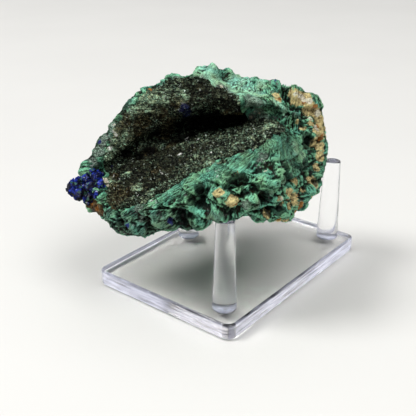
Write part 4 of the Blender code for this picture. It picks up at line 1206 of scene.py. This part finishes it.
class Wiring:
    """Adds nodes to one tree: a socket given as an input is linked, and anything else is its value."""

    def __init__(self, tree):
        self.tree = tree

    def add(self, kind, inputs=None, **settings):
        """A new node with its settings and inputs."""
        node = self.tree.nodes.new(kind)
        for name, value in settings.items():
            setattr(node, name, value)
        for name, value in (inputs or {}).items():
            self.put(node.inputs[name], value)
        return node

    def put(self, socket, value):
        """Links a socket to an input, or sets the input's own value."""
        if isinstance(value, bpy.types.NodeSocket):
            self.tree.links.new(value, socket)
        elif socket.type == "RGBA" and len(value) == 3:
            socket.default_value = (*value, 1.0)
        else:
            socket.default_value = value

    def mix(self, factor, first, second, blend="MIX"):
        """Two colours mixed: inputs 0, 6 and 7 are the mix's factor and colours, output 2 its result."""
        node = self.add("ShaderNodeMix", data_type="RGBA", blend_type=blend)
        self.put(node.inputs[0], factor)
        self.put(node.inputs[6], first)
        self.put(node.inputs[7], second)
        return node.outputs[2]

    def cover(self, colour, mask, strength, tone):
        """A colour with a tone laid over it where the mask shows."""
        return self.mix(self.math("MULTIPLY", mask, strength), colour, tone)

    def math(self, operation, first, second=0.0, third=0.0, clamp=False):
        """The result of one sum on up to three values."""
        inputs = {0: first, 1: second, 2: third}
        return self.add("ShaderNodeMath", inputs, operation=operation, use_clamp=clamp).outputs[0]

    def noise(self, vector, scale, detail=3.0, roughness=0.55, distortion=0.0):
        """Cloudy noise, from 0 to 1."""
        inputs = {"Vector": vector, "Scale": scale, "Detail": detail, "Roughness": roughness}
        inputs["Distortion"] = distortion
        return self.add("ShaderNodeTexNoise", inputs).outputs["Fac"]

    def stretched(self, vector, scale):
        """Coordinates scaled differently along each axis."""
        return self.add("ShaderNodeMapping", {"Vector": vector, "Scale": scale}).outputs["Vector"]

    def attribute(self, name, output="Fac"):
        """A value that the mesh carries at its points."""
        return self.add("ShaderNodeAttribute", attribute_name=name).outputs[output]

    def ramp(self, value, stops):
        """A colour ramp through stops of (place, colour)."""
        node = self.add("ShaderNodeValToRGB", {"Fac": value})
        while len(node.color_ramp.elements) < len(stops):
            node.color_ramp.elements.new(0.5)
        for element, (place, colour) in zip(node.color_ramp.elements, stops, strict=True):
            element.position = place
            element.color = (*colour, 1.0)
        return node.outputs["Color"]

    def shades(self, value, colour, stops):
        """A ramp through shades of one colour, from stops of (place, amount)."""
        return self.ramp(value, [(place, shade(colour, amount)) for place, amount in stops])

    def span(self, value, low, high, out_low=0.0, out_high=1.0):
        """A value moved from one range to another and held inside it."""
        inputs = {"Value": value, "From Min": low, "From Max": high, "To Min": out_low, "To Max": out_high}
        return self.add("ShaderNodeMapRange", inputs, clamp=True).outputs["Result"]

    def group(self, name, inputs):
        """A shared effect with this material's own values."""
        node = self.add("ShaderNodeGroup")
        node.node_tree = bpy.data.node_groups[name]
        for label, value in inputs.items():
            self.put(node.inputs[label], value)
        return node.outputs

    def ragged(self, vector, zone, scale, sharpness):
        """The mask of a zone on the piece, with a ragged border."""
        inputs = {"Vector": vector, "Amount": self.attribute(zone), "Scale": scale, "Sharpness": sharpness}
        return self.group("Ragged Patch", inputs)["Mask"]

    def bump(self, surface, height, strength, distance):
        """Feeds a height to a shader's normal through a bump, with its distance in metres."""
        inputs = {"Height": height, "Strength": strength, "Distance": distance}
        self.put(surface["Normal"], self.add("ShaderNodeBump", inputs).outputs["Normal"])


def new_group(name, inputs, outputs):
    """An empty node group with float (f) and vector (v) sockets. Returns its wiring, inputs and outputs."""
    tree = bpy.data.node_groups.new(name, "ShaderNodeTree")
    kinds = {"f": "NodeSocketFloat", "v": "NodeSocketVector"}
    for way, sockets in (("INPUT", inputs), ("OUTPUT", outputs)):
        for label, kind in sockets.items():
            tree.interface.new_socket(name=label, in_out=way, socket_type=kinds[kind])
    wiring = Wiring(tree)
    return wiring, wiring.add("NodeGroupInput").outputs, wiring.add("NodeGroupOutput").inputs


def ragged_patch_group():
    """A zone with its border broken up by noise: (amount + noise - 0.5) sharpened about one half."""
    inputs = {"Vector": "v", "Amount": "f", "Scale": "f", "Sharpness": "f"}
    w, given, result = new_group("Ragged Patch", inputs, {"Mask": "f"})
    noise = w.noise(given["Vector"], given["Scale"], 4.0, 0.65)
    moved = w.math("ADD", given["Amount"], w.math("MULTIPLY", w.math("SUBTRACT", noise, 0.5), 1.5))
    sharp = w.math("MULTIPLY", w.math("SUBTRACT", moved, 0.5), given["Sharpness"])
    inside = w.math("MULTIPLY", w.math("ADD", sharp, 0.5, clamp=True), w.span(given["Amount"], 0.02, 0.12))
    w.put(result["Mask"], inside)


def grain_group():
    """Fine mineral grain: two sizes of noise and a cell pattern. Gives a 0 to 1 value and a bump height."""
    inputs = {"Vector": "v", "Size": "f"}
    w, given, result = new_group("Mineral Grain", inputs, {"Value": "f", "Height": "f"})
    scale = w.math("DIVIDE", 1.0, given["Size"])
    broad = w.noise(given["Vector"], scale, 5.0, 0.7)
    closer = w.math("MULTIPLY", scale, 1.7)
    cells = w.add("ShaderNodeTexVoronoi", {"Vector": given["Vector"], "Scale": closer})
    w.put(result["Value"], w.span(broad, 0.28, 0.72))
    w.put(result["Height"], w.math("SUBTRACT", broad, w.math("MULTIPLY", cells.outputs["Distance"], 0.45)))


def glint_group():
    """Scattered crystal faces: cells whose own random number falls in the given share."""
    inputs = {"Vector": "v", "Size": "f", "Share": "f"}
    w, given, result = new_group("Glints", inputs, {"Mask": "f"})
    scale = w.math("DIVIDE", 1.0, given["Size"])
    cells = w.add("ShaderNodeTexVoronoi", {"Vector": given["Vector"], "Scale": scale})
    pick = w.add("ShaderNodeSeparateColor", {"Color": cells.outputs["Color"]}).outputs[0]
    w.put(result["Mask"], w.math("LESS_THAN", pick, given["Share"]))


def new_material(name):
    """A material with a Principled shader. Returns it, its wiring, and the shader's and the end's inputs."""
    made = bpy.data.materials.new(name)
    made.use_nodes = True
    made.node_tree.nodes.clear()
    wiring = Wiring(made.node_tree)
    surface = wiring.add("ShaderNodeBsdfPrincipled")
    end = wiring.add("ShaderNodeOutputMaterial", {"Surface": surface.outputs[0]})
    return made, wiring, surface.inputs, end.inputs


def in_millimetres(w):
    """Object coordinates in millimetres."""
    coordinates = w.add("ShaderNodeTexCoord").outputs["Object"]
    return w.stretched(coordinates, (1.0 / MM,) * 3)


def malachite_green(w, at, shaded_tone, streaks, settings):
    """Malachite's green, streaked with its fibres: near black in its crevices as painted shade, pale on its
    crests partly as painted light.

    Over it lie mint zones, pale zones on the crest that are partly painted top light, a warmer and a cooler
    cast, and iron in the seams.
    """
    # Painted shade and light: the lowest tones, mostly crevices, go near black, and the highest, mostly
    # crests, go pale.
    colour = w.ramp(
        shaded_tone,
        [
            (0.32, shade(settings.deep_green, 0.1)),
            (0.43, shade(settings.deep_green, 0.9)),
            (0.51, shade(settings.green, 0.6)),
            (0.60, shade(settings.green, 1.6)),
            (0.72, shade(settings.mint, 1.3)),
        ],
    )
    mint_shade = w.math("ADD", w.math("MULTIPLY", streaks, 0.5), w.math("MULTIPLY", shaded_tone, 0.6))
    mint_tone = w.shades(mint_shade, settings.mint, [(0.28, 0.04), (0.50, 0.50), (0.78, 1.65)])
    colour = w.cover(colour, w.ragged(at, "mint", 0.45, 1.8), 0.85, mint_tone)
    # Partly painted top light: the crest's pale zones.
    pale_crest_and_top_light = w.shades(mint_shade, settings.frost_and_top_light, [(0.25, 0.12), (0.50, 0.80), (0.80, 1.45)])
    colour = w.cover(colour, w.ragged(at, "frost_and_top_light", 0.5, 2.0), 0.85, pale_crest_and_top_light)
    hue = w.span(w.noise(at, 0.16, 2.0, 0.5), 0.35, 0.65)
    colour = w.mix(1.0, colour, w.mix(hue, (1.15, 1.0, 0.84), (0.84, 1.0, 1.06)), "MULTIPLY")
    rusty = w.span(w.noise(at, 0.28, 3.0, 0.6), 0.50, 0.62)
    iron = w.math("MULTIPLY", w.span(shaded_tone, 0.40, 0.50, 1.0, 0.0), rusty)
    return w.cover(colour, iron, 0.75, shade(settings.rust, 0.18))


def patched(w, at, layered, shaded_tone, colour, settings):
    """A colour with patches laid over it in turn: greyer, darker ones that are partly painted shade, chalky,
    rusty, tan, orange, cream and blue ones, and dark ones that are painted shade.
    """
    upright = w.stretched(at, (1.2, 1.2, 0.45))
    # Painted shade, in part: these patches, mostly low on the stone's front, are multiplied darker.
    shaded = w.mix(1.0, colour, (0.62, 0.48, 0.53), "MULTIPLY")
    colour = w.cover(colour, w.ragged(at, "dull_and_shaded", 0.4, 1.5), 0.9, shaded)
    veins = w.span(w.noise(layered, 1.3, 4.0, 0.7, 1.6), 0.43, 0.59)
    chalk = w.shades(veins, settings.grey, [(0.1, 0.08), (0.5, 0.7), (1.0, 2.2)])
    colour = w.cover(colour, w.ragged(layered, "grey", 0.6, 1.6), 0.8, chalk)
    crumbs = w.math("MULTIPLY_ADD", w.noise(upright, 1.1, 4.0, 0.75), 0.9, w.math("MULTIPLY", shaded_tone, 0.45))
    crumbs = w.span(crumbs, 0.46, 0.90)
    for name, tone, scale, sharp in (
        ("rust", settings.rust, 0.5, 2.5),
        ("tan", settings.tan, 0.8, 2.8),
        ("orange", settings.orange, 0.9, 4.0),
        ("cream", settings.cream, 1.2, 4.0),
        ("blue", settings.blue, 0.9, 2.5),
    ):
        mottled = w.shades(crumbs, tone, [(0.10, 0.05), (0.45, 0.70), (0.85, 1.40)])
        colour = w.cover(colour, w.ragged(upright, name, scale, sharp), 0.92, mottled)
    # Painted shade: the dark spots turn near-black green over their pits.
    return w.cover(colour, w.ragged(at, "dark", 0.6, 6.0), 0.8, shade(settings.deep_green, 0.35))


def malachite_look(settings):
    """Malachite: green mottled by depth and streaked with its fibres, in patches of many kinds."""
    made, w, surface, _ = new_material("malachite_surface")
    at = in_millimetres(w)
    layered = w.stretched(at, (0.5, 0.65, 1.5))
    fine = w.group("Mineral Grain", {"Vector": at, "Size": 0.5})
    grain = w.group("Mineral Grain", {"Vector": layered, "Size": 1.2})
    strands = w.span(w.noise(layered, 0.6, 5.0, 0.7, 0.8), 0.3, 0.7)
    streaks = w.span(w.noise(w.attribute("fibre_way", "Vector"), 0.9, 4.0, 0.7), 0.36, 0.64)
    fibrous = w.attribute("fibrous")
    lively = w.span(w.noise(at, 0.14, 2.0, 0.5), 0.42, 0.58, 0.16, 0.50)
    lively = w.math("MULTIPLY", lively, w.span(fibrous, 0.0, 1.0, 1.0, 0.7))
    # The tone starts from the relief's painted shading: crevices darker, crests lighter.
    shaded_tone = w.math("MULTIPLY_ADD", w.attribute("relief_shading"), 0.40, 0.12)
    shaded_tone = w.math("MULTIPLY_ADD", w.math("SUBTRACT", streaks, 0.5), lively, shaded_tone)
    for part, size in ((fine["Value"], 0.14), (grain["Value"], 0.14), (strands, 0.10)):
        shaded_tone = w.math("MULTIPLY_ADD", part, size, shaded_tone)
    colour = malachite_green(w, at, shaded_tone, streaks, settings)
    w.put(surface["Base Color"], patched(w, at, layered, shaded_tone, colour, settings))
    w.put(surface["Roughness"], w.span(grain["Value"], 0.0, 1.0, 0.7, 0.38))
    surface["Specular IOR Level"].default_value = 0.12
    glint = w.group("Glints", {"Vector": at, "Size": 0.8, "Share": 0.12})
    w.put(surface["Coat Weight"], w.math("MULTIPLY", glint["Mask"], 0.7))
    surface["Coat Roughness"].default_value = 0.25
    height = w.math("ADD", w.math("MULTIPLY", fine["Height"], 0.6), grain["Height"])
    height = w.math("ADD", height, w.math("MULTIPLY", strands, 0.6))
    height = w.math("ADD", height, w.math("MULTIPLY", w.math("MULTIPLY", streaks, fibrous), 0.7))
    w.bump(surface, height, 0.9, 0.9 * MM)
    return made


def druse_look(settings):
    """Druse: each crystal has its own tone and cast between the darkest green and pale green.

    Zones of it are dim, pale, iron-stained or blue, dark seams run along the stone, a few crystals are white,
    partly as painted glints, and the deep recess is darkened almost to black as painted shade.
    """
    made, w, surface, _ = new_material("druse_surface")
    at = in_millimetres(w)
    inputs = {"Vector": at, "Rotation": (0.0, 0.0, -STONE_TURN)}
    turned_back = w.add("ShaderNodeMapping", inputs).outputs["Vector"]
    layered = w.stretched(turned_back, (0.3, 0.9, 1.2))
    chance = w.attribute("chance")
    grain = w.group("Mineral Grain", {"Vector": layered, "Size": 0.7})
    tone = w.math("MULTIPLY_ADD", chance, 0.46, w.math("MULTIPLY", grain["Value"], 0.54))
    colour = w.ramp(
        tone,
        [
            (0.40, shade(settings.black_and_recess_shade, 0.2)),
            (0.50, shade(settings.green, 0.6)),
            (0.61, shade(settings.green, 2.0)),
            (0.76, shade(settings.pale, 1.8)),
        ],
    )
    olive = tuple(0.30 * b + 0.50 * g for b, g in zip(settings.brown, settings.green, strict=True))
    for name, low, high, strength in (
        ("dim", shade(settings.black_and_recess_shade, 0.3), olive, 0.85),
        ("pale", shade(settings.pale, 0.32), shade(settings.pale, 3.0), 0.88),
        ("brown", shade(settings.brown, 0.10), shade(settings.brown, 1.7), 0.7),
        ("blue", shade(settings.blue, 0.3), shade(settings.blue, 1.5), 0.8),
    ):
        varied = w.mix(w.span(tone, 0.38, 0.68), low, high)
        colour = w.cover(colour, w.ragged(at, name, 0.9, 1.4), strength, varied)
    hue = w.math("FRACT", w.math("MULTIPLY", chance, 7.0))
    colour = w.mix(1.0, colour, w.mix(hue, (1.14, 0.98, 0.84), (0.80, 1.02, 1.04)), "MULTIPLY")
    drawn = w.stretched(turned_back, (0.10, 0.75, 1.1))
    seams = w.span(w.noise(drawn, 0.9, 3.0, 0.6, 0.6), 0.40, 0.54, 0.22, 1.0)
    colour = w.mix(1.0, colour, seams, "MULTIPLY")
    # Painted shade: the deep recess is darkened almost to black, with no glints or gloss.
    open_to_light = w.math("SUBTRACT", 1.0, w.math("MULTIPLY", w.attribute("black_and_recess_shade"), 0.93))
    colour = w.mix(1.0, colour, open_to_light, "MULTIPLY")
    # Painted glints: a few scattered cells are lightened to pale grey as if catching the light, none in the
    # recess.
    glint = w.group("Glints", {"Vector": at, "Size": 0.7, "Share": 0.014})
    shining = w.math("MULTIPLY", w.math("MULTIPLY", glint["Mask"], 0.6), open_to_light)
    colour = w.mix(shining, colour, (0.45, 0.52, 0.45))
    # Painted glints, in part: the white zone turns crystals near white.
    colour = w.mix(w.attribute("white"), colour, (0.85, 0.86, 0.82))
    w.put(surface["Base Color"], colour)
    surface["Roughness"].default_value = 0.5
    surface["Specular IOR Level"].default_value = 0.08
    w.put(surface["Coat Weight"], w.math("MULTIPLY", w.math("GREATER_THAN", chance, 0.96), open_to_light))
    surface["Coat Roughness"].default_value = 0.12
    w.bump(surface, grain["Height"], 0.4, 0.3 * MM)
    return made


def azurite_look(settings):
    """Azurite: near black in the seams as painted shade, light blue where it stands out as painted highlight,
    uneven by place, with green specks.
    """
    made, w, surface, _ = new_material("azurite_surface")
    at = in_millimetres(w)
    relief_shading = w.attribute("relief_shading")
    grain = w.group("Mineral Grain", {"Vector": at, "Size": 2.0})
    tone = w.math("ADD", w.math("MULTIPLY", relief_shading, 0.5), w.math("MULTIPLY", grain["Value"], 0.5))
    tone = w.math("ADD", tone, w.span(w.noise(at, 0.26, 2.0, 0.5), 0.38, 0.62, -0.16, 0.12))
    # Painted shade and highlight: seams go near black, tips go light blue.
    colour = w.ramp(tone, [(0.40, settings.dark), (0.60, settings.blue), (0.85, settings.bright)])
    speck = w.group("Glints", {"Vector": at, "Size": 1.2, "Share": 0.10})
    colour = w.cover(colour, speck["Mask"], 0.7, (0.06, 0.16, 0.11))
    w.put(surface["Base Color"], colour)
    surface["Roughness"].default_value = 0.4
    surface["Specular IOR Level"].default_value = 0.1
    w.put(surface["Coat Weight"], w.span(relief_shading, 0.65, 0.80, 0.0, 0.8))
    surface["Coat Roughness"].default_value = 0.15
    w.bump(surface, grain["Height"], 0.5, 0.4 * MM)
    return made


def acrylic_look(settings, name, drawn, strength, shine):
    """Clear acrylic: plain transmission with a faint warm tint that deepens with thickness.

    The upright faces have saw streaks drawn out one way and glow a pale lavender, least in the corners:
    painted light given off as emission.
    """
    made, w, surface, end = new_material(name)
    streaks = w.noise(w.stretched(in_millimetres(w), drawn), 1.0, 3.0, 0.6, 0.4)
    facing = w.add("ShaderNodeNewGeometry").outputs["Normal"]
    rise = w.math("ABSOLUTE", w.add("ShaderNodeSeparateXYZ", {"Vector": facing}).outputs["Z"])
    edge = w.span(rise, 0.90, 0.9995, 1.0, 0.0)
    surface["Base Color"].default_value = (1.0, 1.0, 1.0, 1.0)
    surface["Transmission Weight"].default_value = 1.0
    surface["IOR"].default_value = 1.49
    w.put(surface["Roughness"], w.math("MULTIPLY", edge, w.span(streaks, 0.35, 0.65, 0.02, 0.16)))
    w.bump(surface, w.math("MULTIPLY", streaks, edge), strength, 0.5 * MM)
    # Painted glow: the upright faces give off lavender light, strongest along the straight sides.
    lit = w.math("MULTIPLY", edge, w.span(w.attribute("straight"), 0.0, 1.0, 0.1, 1.0))
    lit = w.math("MULTIPLY", lit, w.span(streaks, 0.3, 0.7))
    w.put(surface["Emission Color"], w.mix(lit, (0.0, 0.0, 0.0), tuple(settings.edge_glow)))
    surface["Emission Strength"].default_value = shine
    tint = w.add("ShaderNodeVolumeAbsorption")
    tint.inputs["Color"].default_value = (*settings.tint, 1.0)
    tint.inputs["Density"].default_value = settings.tint_density
    w.put(end["Volume"], tint.outputs[0])
    return made


def joint_look(settings):
    """Cured cement under a peg: pale lavender with pale and dark blotches, taken from the edges' glow as
    painted light.
    """
    made, w, surface, _ = new_material("cement_glow_surface")
    blotches = w.span(w.noise(in_millimetres(w), 0.9, 2.0, 0.5), 0.35, 0.65)
    tone = tuple(settings.edge_glow)
    # Painted glow: the cement takes the lavender of the acrylic's edge glow.
    w.put(surface["Base Color"], w.mix(blotches, shade(tone, 0.65), tone))
    surface["Roughness"].default_value = 0.4
    return made


def floor_look(settings):
    """Matt pale board with a faint unevenness."""
    made, w, surface, _ = new_material("pale_board")
    coordinates = w.add("ShaderNodeTexCoord").outputs["Object"]
    cloud = w.span(w.noise(coordinates, 9.0, 3.0, 0.5), 0.35, 0.65)
    tone = tuple(settings.floor)
    w.put(surface["Base Color"], w.mix(cloud, shade(tone, 0.985), tone))
    surface["Roughness"].default_value = 0.6
    return made


# ---------------------------------------------------------------- operators


def look_named(name, build, settings):
    """The material of that name, built the first time that it is asked for."""
    return bpy.data.materials.get(name) or build(settings)


class SPECIMEN_OT_effects(bpy.types.Operator):
    """Build the node groups that the minerals share"""

    bl_idname = "specimen.effects"
    bl_label = "Shared Effects"

    def execute(self, context):
        ragged_patch_group()
        grain_group()
        glint_group()
        return {"FINISHED"}


class SPECIMEN_OT_stone(bpy.types.Operator):
    """Build the malachite stone"""

    bl_idname = "specimen.stone"
    bl_label = "Malachite Stone"

    def execute(self, context):
        settings = context.scene.specimen_stone
        look = look_named("malachite_surface", malachite_look, settings)
        stand_in(stone_piece(settings, look), "malachite_rock")
        return {"FINISHED"}


class SPECIMEN_OT_hollow(bpy.types.Operator):
    """Build the crystal-lined hollow"""

    bl_idname = "specimen.hollow"
    bl_label = "Crystal-Lined Hollow"

    def execute(self, context):
        settings = context.scene.specimen_crust
        stone = context.scene.specimen_stone
        look = look_named("druse_surface", druse_look, settings)
        stand_in(crust_piece(settings, stone, look), "hollow_crust")
        stand_in(crust_crystals(settings, stone, look), "hollow_crust")
        return {"FINISHED"}


class SPECIMEN_OT_azurite(bpy.types.Operator):
    """Build the azurite cluster at the stone's tip"""

    bl_idname = "specimen.azurite"
    bl_label = "Azurite Cluster"

    def execute(self, context):
        settings = context.scene.specimen_azurite
        look = look_named("azurite_surface", azurite_look, settings)
        stand_in(azurite_piece(settings, look), "azurite_crystals")
        return {"FINISHED"}


class SPECIMEN_OT_stand(bpy.types.Operator):
    """Build the clear plate and its three pegs"""

    bl_idname = "specimen.stand"
    bl_label = "Clear Stand"

    def execute(self, context):
        settings = context.scene.specimen_stand
        plate = acrylic_look(settings, "plate_surface", drawn=(0.06, 0.06, 0.8), strength=0.9, shine=0.44)
        peg = acrylic_look(settings, "peg_surface", drawn=(0.9, 0.9, 0.03), strength=0.15, shine=0.03)
        cement = joint_look(settings)
        plate_piece(settings, plate)
        for node in PEGS:
            peg_piece(settings, node, peg)
            joint_piece(settings, node, cement)
        return {"FINISHED"}


def soft_light(name, place, size, power):
    """A square area light at a place, turned to face the stone."""
    lamp = bpy.data.lights.new(name, "AREA")
    lamp.shape = "SQUARE"
    lamp.size = size
    lamp.energy = power
    lamp.color = LIGHT_TINT
    obj = bpy.data.objects.new(name, lamp)
    obj.location = place
    obj.rotation_euler = (Vector(LIGHT_AIM) - Vector(place)).to_track_quat("-Z", "Y").to_euler()
    bpy.context.scene.collection.objects.link(obj)


def pale_room(settings):
    """A plain room: dim walls low down, a bright ceiling, and a dark band between them."""
    world = bpy.data.worlds.new("room")
    world.use_nodes = True
    w = Wiring(world.node_tree)
    facing = w.add("ShaderNodeTexCoord").outputs["Generated"]
    height = w.add("ShaderNodeSeparateXYZ", {"Vector": facing}).outputs["Z"]
    background = world.node_tree.nodes["Background"].inputs
    background["Color"].default_value = (1.0, 1.0, 1.0, 1.0)
    walls = w.span(height, 0.3, 0.5, settings.walls, 0.0)
    ceiling = w.span(height, 0.66, 0.76, 0.0, settings.ceiling)
    w.put(background["Strength"], w.math("MAXIMUM", walls, ceiling))
    return world


def floor_piece(look):
    """The floor: a flat square grid just under the plate."""
    count = 9
    reach = np.linspace(-FLOOR_REACH, FLOOR_REACH, count)
    level = np.full((count, count), FLOOR_LEVEL)
    grid = np.stack([*np.meshgrid(reach, reach, indexing="ij"), level], axis=-1)
    faces = [grid_faces(count, count, False)]
    return make_piece("floor", grid.reshape(-1, 3), faces, look, smooth=False)


def place_camera():
    """The camera that the scene is seen through."""
    camera = bpy.data.cameras.new("camera")
    camera.sensor_fit = "HORIZONTAL"
    camera.sensor_width = SENSOR_WIDTH
    camera.lens = CAMERA_LENS
    camera.clip_start = 0.01
    eye = bpy.data.objects.new("camera", camera)
    eye.location = CAMERA_PLACE
    eye.rotation_euler = Vector(CAMERA_FACING).to_track_quat("-Z", "Y").to_euler()
    bpy.context.scene.collection.objects.link(eye)
    bpy.context.scene.camera = eye


class SPECIMEN_OT_stage(bpy.types.Operator):
    """Build the floor, the lights and the camera"""

    bl_idname = "specimen.stage"
    bl_label = "Stage"

    def execute(self, context):
        settings = context.scene.specimen_stage
        scene = context.scene
        floor_piece(look_named("pale_board", floor_look, settings))
        soft_light("key_light", KEY_LIGHT_PLACE, KEY_LIGHT_SIZE, settings.key_light)
        soft_light("fill_light", FILL_LIGHT_PLACE, FILL_LIGHT_SIZE, settings.fill_light)
        scene.world = pale_room(settings)
        place_camera()
        scene.view_settings.view_transform = "Standard"
        light_paths = scene.cycles
        light_paths.max_bounces = 24
        light_paths.transmission_bounces = 24
        light_paths.sample_clamp_indirect = 0.0
        light_paths.blur_glossy = 0.0
        return {"FINISHED"}


class SPECIMEN_PT_panel(bpy.types.Panel):
    """Lists the specimen's pieces in the sidebar"""

    bl_idname = "SPECIMEN_PT_panel"
    bl_label = "Azurite Specimen"
    bl_space_type = "VIEW_3D"
    bl_region_type = "UI"
    bl_category = "Specimen"

    def draw(self, context):
        for operator, group in BUILD_ORDER:
            box = self.layout.box()
            box.operator(operator.bl_idname)
            if group:
                settings = getattr(context.scene, group)
                for name in settings.bl_rna.properties.keys():
                    if name not in ("rna_type", "name"):
                        box.prop(settings, name)


BUILD_ORDER = [
    (SPECIMEN_OT_effects, None),
    (SPECIMEN_OT_stone, "specimen_stone"),
    (SPECIMEN_OT_hollow, "specimen_crust"),
    (SPECIMEN_OT_azurite, "specimen_azurite"),
    (SPECIMEN_OT_stand, "specimen_stand"),
    (SPECIMEN_OT_stage, "specimen_stage"),
]
SETTINGS = {
    "specimen_stone": StoneSettings,
    "specimen_crust": CrustSettings,
    "specimen_azurite": AzuriteSettings,
    "specimen_stand": StandSettings,
    "specimen_stage": StageSettings,
}


def register():
    """Makes the settings, the operators and the panel known to Blender."""
    for name, group in SETTINGS.items():
        bpy.utils.register_class(group)
        setattr(bpy.types.Scene, name, PointerProperty(type=group))
    for operator, _ in BUILD_ORDER:
        bpy.utils.register_class(operator)
    bpy.utils.register_class(SPECIMEN_PT_panel)


def unregister():
    """Takes back what register did, last first."""
    bpy.utils.unregister_class(SPECIMEN_PT_panel)
    for operator, _ in reversed(BUILD_ORDER):
        bpy.utils.unregister_class(operator)
    for name, group in reversed(SETTINGS.items()):
        delattr(bpy.types.Scene, name)
        bpy.utils.unregister_class(group)


def main():
    register()
    for operator, _ in BUILD_ORDER:
        family, name = operator.bl_idname.split(".")
        getattr(getattr(bpy.ops, family), name)()


if __name__ == "__main__":
    main()
